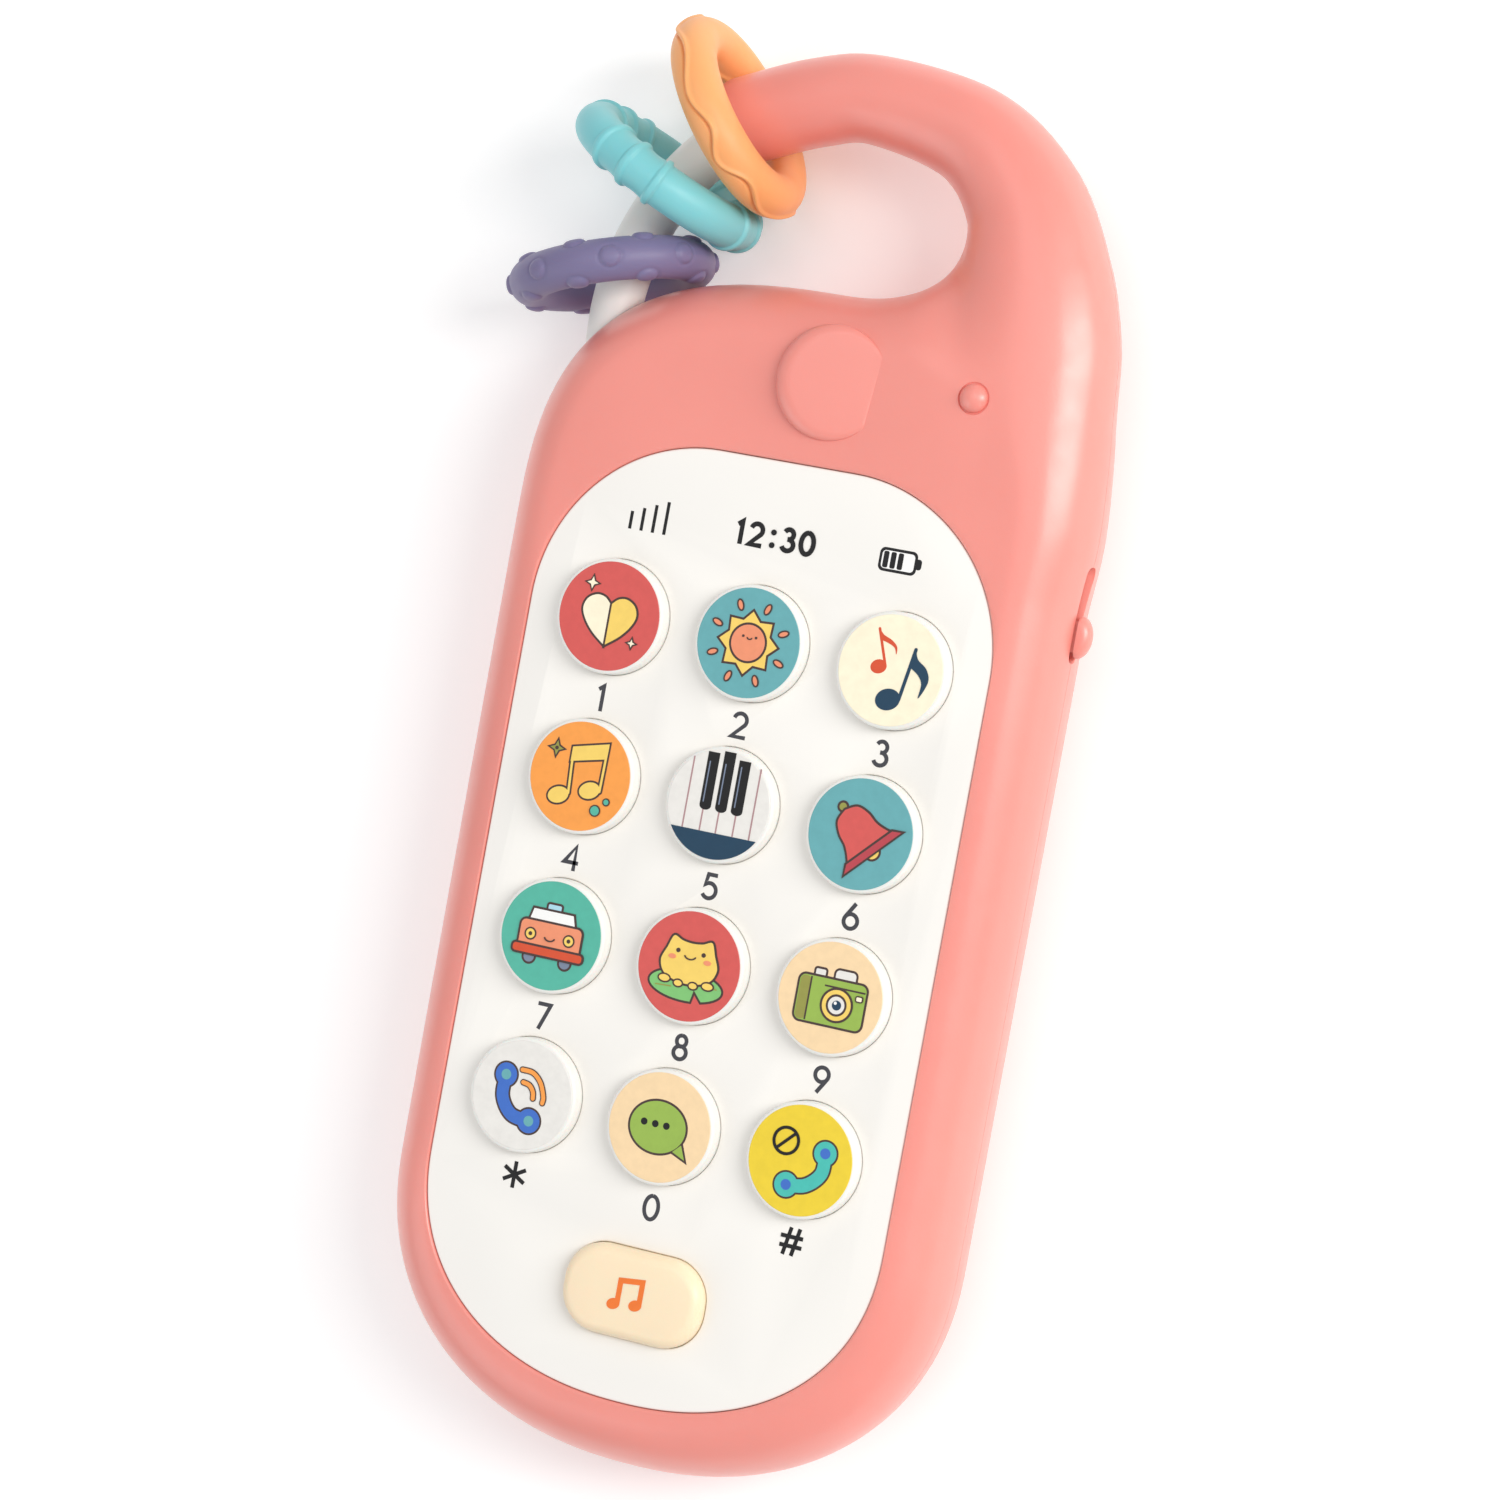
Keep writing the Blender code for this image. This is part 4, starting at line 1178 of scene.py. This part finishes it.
# Figures as pen paths 2.8 high, centred on the origin
FIGURES = {
    "0": [ellipse(0, 0, 0.88, 1.4, steps=36, start=90, end=449.9)],
    "1": [[(-0.45, 0.95), (0.15, 1.4), (0.15, -1.62)]],
    "2": [ellipse(0, 0.58, 0.82, steps=14, start=165, end=-38) + [(-0.85, -1.4), (0.95, -1.4)]],
    "3": [
        ellipse(-0.05, 0.74, 0.66, steps=14, start=155, end=-95),
        ellipse(-0.05, -0.64, 0.82, 0.76, steps=16, start=98, end=-160),
    ],
    "4": [[(0.4, -1.62), (0.4, 1.35), (-0.95, -0.65), (0.9, -0.65)]],
    "5": [
        [(0.75, 1.4), (-0.42, 1.4), (-0.6, 0.2)]
        + ellipse(-0.05, -0.5, 0.88, 0.9, steps=18, start=122, end=-150)
    ],
    "6": [ellipse(0, -0.55, 0.85, steps=28, start=145, end=504.9), [(-0.7, -0.07), (0.35, 1.6)]],
    "7": [[(-0.9, 1.4), (0.75, 1.4), (-0.4, -1.62)]],
    "8": [
        ellipse(0, 0.74, 0.62, 0.66, steps=28, start=90, end=449.9),
        ellipse(0, -0.64, 0.8, 0.77, steps=28, start=90, end=449.9),
    ],
    "9": [ellipse(0, 0.55, 0.85, steps=28, start=-35, end=324.9), [(0.7, 0.07), (-0.35, -1.6)]],
    "star": [[(r * math.cos(t), r * math.sin(t)) for r in (1.6, -1.6)] for t in (0.52, 1.57, 2.62)],
    "hash": [[(x - 0.3, -1.65), (x + 0.3, 1.65)] for x in (-0.55, 0.55)]
    + [[(-1.4, y), (1.4, y)] for y in (-0.55, 0.55)],
}


def figure_prints():
    for node in button_nodes():
        name = node.removeprefix("button_")
        x, y = button_centre(node)
        mark = Print(f"figure_{name}", (x, y - FIGURE_DROP), PANEL_HIGH_Z)
        colour = "ink_black" if name in ("star", "hash") else "ink_figure"
        for path in FIGURES[name]:
            mark.pen(colour, 0.5, moved(path, scale=FIGURE_SCALE), round_ends=False)
        mark.made("casing", "panel_plastic")


def signal_print():
    mark = Print("signal_bars", (-16.8, STATUS_Y - 0.2), PANEL_HIGH_Z)
    bars = [[(1.55 * (k - 1.5), -1.9), (1.55 * (k - 1.5), -1.9 + 2.2 + 0.62 * k)] for k in range(4)]
    mark.pen("ink_black", 0.42, *bars, round_ends=False)
    mark.made("casing", "panel_plastic")


def clock_print():
    mark = Print("clock_figures", (0.0, STATUS_Y), PANEL_HIGH_Z)
    for figure, x in (("1", -4.5), ("2", -2.35), ("3", 1.95), ("0", 4.45)):
        for path in FIGURES[figure]:
            mark.pen("ink_black", 0.6, moved(path, x, 0, scale=0.93), round_ends=False)
    mark.fill("ink_black", *dots([(-0.1, 0.62), (-0.1, -0.95)], 0.36))
    mark.made("casing", "panel_plastic")


def battery_print():
    mark = Print("battery_sign", (16.6, STATUS_Y - 0.1), PANEL_HIGH_Z)
    case, pole = rounded_box(-2.65, -1.45, 2.3, 1.45, 0.7, 6), rounded_box(2.1, -0.65, 2.9, 0.65, 0.35, 4)
    mark.fill("ink_black", case, pole)
    mark.fill("ink_white", rounded_box(-2.3, -1.1, 1.95, 1.1, 0.45, 5))
    mark.fill("ink_black", *[rounded_box(x, -1.0, x + 0.68, 1.0, 0.2, 3) for x in (-2.1, -1.15, -0.2)])
    mark.made("casing", "panel_plastic")


def mode_print():
    """A plain pair of beamed notes, drawn with a round pen."""
    x, y = button_centre("mode_button")
    mark = Print("mode_sign", (x - 0.2, y), MODE_TOP_Z)
    mark.pen("ink_symbol", 0.7, [(-1.15, -1.15), (-1.15, 1.65), (1.75, 2.0), (1.75, -0.8)])
    mark.fill("ink_symbol", *[note_head(x, y, 0.88, 0.68) for x, y in ((-1.65, -1.35), (1.25, -1.0))])
    mark.made("mode_button", "cream_plastic")


# Buttons

def caps(material):
    """The twelve round caps, each with a coloured disc and a picture on it."""
    edge = 0.42
    profile = [(FLANGE_RADIUS, FLANGE_LOW_Z), (FLANGE_RADIUS, FLANGE_HIGH_Z), (CAP_RADIUS, FLANGE_HIGH_Z)]
    for inset, drop in rounding(edge, edge, (0, 18, 36, 54, 72, 90)):
        profile.append((CAP_RADIUS - inset, CAP_TOP_Z - drop))
    profile.append((0.5, CAP_TOP_Z))
    label_profile = [(LABEL_RADIUS, CAP_TOP_Z - 0.1), (LABEL_RADIUS, LABEL_TOP_Z - 0.04)]
    label_profile += [(LABEL_RADIUS - 0.05, LABEL_TOP_Z), (0.5, LABEL_TOP_Z)]
    for node in button_nodes():
        name, centre = node.removeprefix("button_"), button_centre(node)
        colour, draw = LABELS[node]
        cap = turned(f"cap_{name}", profile, centre, 80, material)
        place_piece(cap, node, [node])
        label = turned(f"label_{name}", label_profile, centre, 80, ink(colour))
        place_piece(label, node)
        mark = Print(f"picture_{name}", centre, LABEL_TOP_Z)
        draw(mark)
        mark.made(node, "cap_plastic")


def mode_cap(material):
    """The long button: a pill with a broad rounded edge and a barely crowned top."""
    edge, crown = 1.5, 0.06
    rows = [(1.1, FLANGE_LOW_Z), (1.1, FLANGE_HIGH_Z), (0.0, FLANGE_HIGH_Z)]
    for inset, drop in rounding(edge, edge, [88 * i / 7 for i in range(8)]):
        rows.append((-inset, MODE_TOP_Z - crown - drop))
    rows.append((-3.2, MODE_TOP_Z))
    pill = loft("mode_pill", levels(mode_outline, rows), material)
    place_piece(pill, "mode_button", ["mode_button"])
    mode_print()


# Rings on the bar


def ring_frame(node):
    """A ring's centre, axis and the level direction in its plane."""
    low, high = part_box(node)
    joint = next(one for one in frame["joints"] if one["child"] == node)
    axis = Vector(joint["axis"]).normalized()
    return (low + high) / 2 / MM, axis, Vector((-axis.y, axis.x, 0)).normalized()


def ring_mesh(node, name, reach, count, radius_at, sides, material):
    """A tube round a circle in the ring's plane, its radius given for each place and side."""
    centre, axis, level = ring_frame(node)
    upright = Vector((0, 0, 1))
    vertices = []
    for i in range(count):
        u = 2 * math.pi * i / count
        outward = level * math.cos(u) + upright * math.sin(u)
        middle = centre + outward * reach
        for k in range(sides):
            v = 2 * math.pi * k / sides
            vertices.append(middle + (outward * math.cos(v) + axis * math.sin(v)) * radius_at(u, v))
    faces = []
    for i in range(count):
        here, there = i * sides, (i + 1) % count * sides
        for k in range(sides):
            n = (k + 1) % sides
            faces.append((here + k, there + k, there + n, here + n))
    obj = mesh_object(name, [tuple(v) for v in vertices], faces, material, smooth_deg=180)
    return place_piece(obj, node, [node])


def angle_off(angle, place, whole=360):
    """How far an angle lies from a place on the circle, with its sign."""
    return (angle - place + whole / 2) % whole - whole / 2


def orange_ring(material):
    """A doughnut whose icing ends in a raised, dripping edge on both sides."""

    def radius_at(u, v):
        degrees = math.degrees(v)
        drip = math.sin(8 * u + 0.8 * math.sin(3 * u)) + 0.35 * math.sin(5 * u + 1.0)
        outer_edge = 354 + 15 * drip
        inner_edge = 205 - 9 * math.sin(7 * u + 0.6)
        outside = degrees > 270 or degrees < 90
        from_edge = angle_off(degrees, outer_edge) if outside else inner_edge - degrees
        cover = smooth_step(from_edge, -3, 2)
        bead = math.exp(-(((from_edge - 5) / 5.5) ** 2))
        crease = math.exp(-(((from_edge + 4.5) / 3.2) ** 2))
        return 2.8 + 0.1 * cover + 0.32 * bead - 0.34 * crease

    ring_mesh("orange_ring", "doughnut_ring", 10.65, 300, radius_at, 150, material)


def teal_ring(material):
    """A bamboo hoop: four groups of three raised node rings, with smooth runs between."""
    middle, groups = 10.75, (90, 195, 270, 345)
    ridges = [group + 20 * k for group in groups for k in (-1, 0, 1)]

    def radius_at(u, _):
        degrees = math.degrees(u)
        off_ridge = min(abs(angle_off(degrees, place)) for place in ridges) * math.radians(middle)
        off_group = min(abs(angle_off(degrees, group)) for group in groups)
        ridge = 0.36 * math.exp(-((off_ridge / 0.42) ** 6))
        waist = 0.1 * (1 - smooth_step(off_group, 18, 24)) * smooth_step(off_ridge, 0.5, 1.6)
        return 2.8 + ridge - waist

    ring_mesh("teal_ring", "bamboo_ring", middle, 600, radius_at, 60, material)


def purple_ring(material):
    """A hoop with flat round nubs: a row round the outside and one along each side."""
    middle, body, nub_radius, moat, full = 10.35, 2.7, 1.3, 0.4, 2 * math.pi
    nubs = [(full * (k + 0.5) / 8, 0.0) for k in range(8)]
    nubs += [(full * k / 8, side * math.radians(74)) for k in range(8) for side in (-1, 1)]

    def radius_at(u, v):
        rise = 0.0
        for nub_u, nub_v in nubs:
            along = angle_off(u, nub_u, full) * (middle + body * math.cos(nub_v))
            reach = math.hypot(along, angle_off(v, nub_v, full) * body)
            if reach < nub_radius:
                rise = max(rise, 0.36 * (1 - (reach / nub_radius) ** 3) ** 0.5)
            elif reach < nub_radius + moat:
                rise = min(rise, -0.1 * math.sin(math.pi * (reach - nub_radius) / moat))
        return body + rise

    ring_mesh("purple_ring", "nubbed_ring", middle, 360, radius_at, 84, material)


# Side, back and inside


def ring_bar(material):
    place_piece(bar_solid("bar", 0.0, material), "casing", ["ring_bar"])


def switch_thumb(material):
    """A half-round pad with soft edges outside the slot, on a neck and a plate inside the casing."""
    low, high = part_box("switch_knob")
    middle_y = (low.y + high.y) / 2 / MM
    middle_z = sum(SLOT_Z) / 2
    near_x, out_x = HALF_WIDTH + 0.35, high.x / MM + 0.25
    half_thick, half_wide, softness = 1.3, 2.6, 1.1
    rings = []
    for i in range(13):
        t = math.radians(-90 + 15 * i)
        inset = softness * (1 - math.cos(t))
        out = out_x - near_x - inset
        arc = ellipse(near_x, middle_y, out, half_wide - inset, steps=28, start=-90, end=90)
        rings.append([(x, y, middle_z + half_thick * math.sin(t)) for x, y in arc])
    parts = []
    for low_x, high_x, half_y, low_z, high_z in (
        (34.0, near_x + 0.4, 1.9, SLOT_Z[0] + 0.2, SLOT_Z[1] - 0.2),
        (31.7, 34.5, 3.3, 11.1, 15.3),
    ):
        parts.append(box("part", (low_x, middle_y - half_y, low_z), (high_x, middle_y + half_y, high_z)))
    thumb = combined(loft("thumb_piece", rings), "UNION", *parts)
    place_piece(finished(thumb, material), "switch_knob", ["switch_knob"])


def battery_door(material):
    """The door with its soft outer edge, thumb grooves and a well for its screw."""
    low_z, high_z = DOOR_Z
    rows = [(-0.25, low_z), (-0.07, low_z + 0.07), (0.0, low_z + 0.25), (0.0, high_z)]
    door = loft("door_plate", levels(door_outline, rows))
    grooves = []
    for k in (-2, -1, 0, 1, 2):
        outline = stroke([(2.4 * k, -31.5), (2.4 * k, -25.5 + 0.7 * abs(k))], 0.9)
        grooves.append(prism(f"groove_{k}", outline, -1.0, 0.6))
    screw_hole = turned("door_screw_hole", [(3.0, 3.0), (3.0, 0.6), (3.3, 0.2), (3.3, -1.0)], DOOR_SCREW, 40)
    door = combined(door, "DIFFERENCE", joined("grooves", grooves), screw_hole)
    place_piece(finished(door, material), "battery_door", ["battery_door"])


def screw(node, body, material):
    """A pan-head screw driven from the back, with a crossed recess and a threaded shank."""
    low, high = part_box(node)
    centre = ((low.x + high.x) / 2 / MM, (low.y + high.y) / 2 / MM)
    head_z, end_z = low.z / MM, high.z / MM
    profile = [(0.4, head_z)]
    for inset, drop in rounding(0.9, 0.7, range(90, -1, -15)):
        profile.append((SCREW_HEAD_RADIUS - inset, head_z + drop))
    profile += [(SCREW_HEAD_RADIUS, head_z + 1.7), (SCREW_RADIUS, head_z + 1.7)]
    pitch, root, thread_z = 0.8, SCREW_RADIUS - 0.3, head_z + 2.4
    for i in range(int((end_z - 1.2 - thread_z) / pitch)):
        z = thread_z + pitch * i
        profile += [(root, z), (SCREW_RADIUS, z + pitch / 2)]
    profile += [(root, end_z - 1.1), (0.3, end_z)]
    made = turned(f"{node}_fine", profile, centre, 40)
    x, y = centre
    for half_x, half_y in ((1.6, 0.36), (0.36, 1.6)):
        slot = box("slot", (x - half_x, y - half_y, head_z - 1), (x + half_x, y + half_y, head_z + 0.85))
        made = combined(made, "DIFFERENCE", slot)
    place_piece(finished(made, material), body, [node])


def battery(node, side, jacket, gold, steel):
    """A cell lying across the back: printed jacket, bright ends and a raised positive cap."""
    low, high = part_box(node)
    centre = (low + high) / 2 / MM
    half, radius = (high.x - low.x) / 2 / MM, (high.z - low.z) / 2 / MM
    printed, bright, bare = 0, 1, 2
    rows = [(radius - 0.9, -half, bare), (radius - 0.35, -half, bare)]
    rows += [(radius - 0.02, -half + 0.4, printed), (radius, -half + 0.7, printed)]
    rows += [(radius, half - 13.0, bright), (radius, half - 1.7, bright)]
    rows += [(radius - 0.35, half - 1.1, bare), (radius - 1.2, half - 0.8, bare)]
    rows += [(1.95, half - 0.8, bare), (1.9, half - 0.15, bare), (1.7, half, bare), (0.4, half, bare)]
    steps, rings = 56, []
    for r, along, _ in rows:
        circle = ellipse(0, 0, r, steps=steps)
        rings.append([(centre.x + side * along, centre.y + side * a, centre.z + b) for a, b in circle])
    obj = loft(f"{node}_cell", rings)
    for one in (jacket, gold, steel):
        obj.data.materials.append(one)
    slots = [bare, bare] + [finish for *_, finish in rows[:-1] for _ in range(steps)]
    obj.data.polygons.foreach_set("material_index", slots)
    place_piece(obj, "casing", [node])


def inside():
    """The pieces kept from the frame, with finishes of their own."""
    finishes = {
        "circuit_board": board_material(),
        "keypad_membrane": plastic("silicone_sheet", (206, 206, 200), (0.5, 0.62), 0.02, 0.1),
        "sound_chip": plastic("black_resin", (26, 26, 28), (0.25, 0.5), 0.05, tint=0.2),
        "speaker": plastic("speaker_cone", (34, 34, 38), (0.55, 0.75), 0.06, tint=0.25),
        "slide_switch": metal("tinned_steel", (186, 188, 190)),
        "speaker_wire_red": plastic("wire_red_pvc", (196, 40, 36), (0.4, 0.5), 0.01),
        "speaker_wire_black": plastic("wire_black_pvc", (30, 30, 32), (0.4, 0.5), 0.01, tint=0.15),
    }
    finishes["battery_wire_red"] = finishes["speaker_wire_red"]
    finishes["battery_wire_black"] = finishes["speaker_wire_black"]
    contact = metal("nickel_contact", (206, 204, 198), (0.18, 0.34), (1.0, 0.2, 1.0))
    for node in ("bridge_plate", "bridge_spring", "negative_plate", "negative_spring", "positive_plate"):
        finishes[node] = contact
    for node, finish in finishes.items():
        obj = frame["nodes"][node]
        for slot in obj.material_slots:
            slot.link = "OBJECT"
            slot.material = finish


# Studio


def area_light(name, place, target, size, power, colour=(1.0, 1.0, 1.0)):
    data = bpy.data.lights.new(name, "AREA")
    data.shape = "RECTANGLE"
    data.size, data.size_y = size
    data.energy = power
    data.color = colour
    light = linked(name, data)
    light.location = place
    light.rotation_euler = (Vector(target) - Vector(place)).to_track_quat("-Z", "Y").to_euler()


def studio():
    """A pale floor under soft light, mostly from the right and from above."""
    half = 3000.0
    outline = [(-half, -half), (half, -half), (half, half), (-half, half)]
    prism("floor", outline, -20.0, 0.0, floor_material())
    world = bpy.data.worlds.new("studio")
    world.use_nodes = True
    background = world.node_tree.nodes["Background"]
    background.inputs["Color"].default_value = (0.97, 0.98, 1.0, 1.0)
    background.inputs["Strength"].default_value = 0.58
    bpy.context.scene.world = world
    middle = (0.0, 0.01, 0.02)
    area_light("key", (0.85, 0.30, 0.60), middle, (0.34, 0.80), 7.5, (1.0, 0.985, 0.965))
    area_light("top", (0.05, 0.25, 0.80), middle, (0.60, 0.40), 0.8)
    area_light("fill", (-0.60, -0.45, 0.55), middle, (0.60, 0.60), 1.2, (0.97, 0.98, 1.0))
    scene = bpy.context.scene
    scene.view_settings.view_transform = "Standard"
    scene.view_settings.look = "None"
    scene.view_settings.exposure = 0.0


def camera():
    """Above the face, turned so that the phone leans and its right flank shows."""
    right = Vector((0.9075, 0.1802, -0.379)).normalized()
    back = Vector((0.3776, 0.0436, 0.9249)).normalized()
    up = back.cross(right).normalized()
    right = up.cross(back)
    data = bpy.data.cameras.new("camera")
    data.lens = 118.5
    data.sensor_width = 36.0
    data.clip_start = 0.01
    obj = linked("camera", data)
    turn = Matrix((right, up, back)).transposed().to_4x4()
    obj.matrix_world = Matrix.Translation((0.22866, 0.04338, 0.57706)) @ turn
    bpy.context.scene.camera = obj


def main():
    """Builds the camera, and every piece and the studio."""
    camera()
    pink = plastic("pink_shell", PINK, (0.3, 0.38), 0.012, 0.25, coat=0.35, ior=1.6)
    steel = metal("screw_steel", (176, 178, 182))
    casing(pink)
    face_panel(plastic("panel_white", PANEL_WHITE, (0.3, 0.36), 0.006, tint=0.015, wave=0.08))
    figure_prints()
    signal_print()
    clock_print()
    battery_print()
    caps(plastic("cap_white", CAP_WHITE, (0.32, 0.4), 0.008, 0.2, tint=0.015, wave=0.1))
    mode_cap(plastic("pill_cream", CREAM, (0.32, 0.4), 0.008, 0.25))
    orange_ring(plastic("soft_orange", RING_ORANGE, (0.4, 0.5), 0.014, 0.3))
    teal_ring(plastic("soft_teal", RING_TEAL, (0.38, 0.48), 0.014, 0.3))
    purple_ring(plastic("soft_purple", RING_PURPLE, (0.42, 0.52), 0.014, 0.2))
    ring_bar(plastic("bar_white", BAR_WHITE, (0.34, 0.42), 0.01, 0.15))
    switch_thumb(pink)
    battery_door(pink)
    for i in range(len(CASE_SCREWS)):
        screw(f"case_screw_{i + 1}", "casing", steel)
    screw("door_screw", "battery_door", steel)
    jacket = plastic("cell_jacket", (44, 96, 158), (0.2, 0.3), 0.004, coat=0.3, tint=0.1)
    copper = metal("cell_copper", (214, 160, 96), (0.25, 0.38))
    for node, side in (("battery_1", 1), ("battery_2", -1)):
        battery(node, side, jacket, copper, steel)
    inside()
    studio()


main()
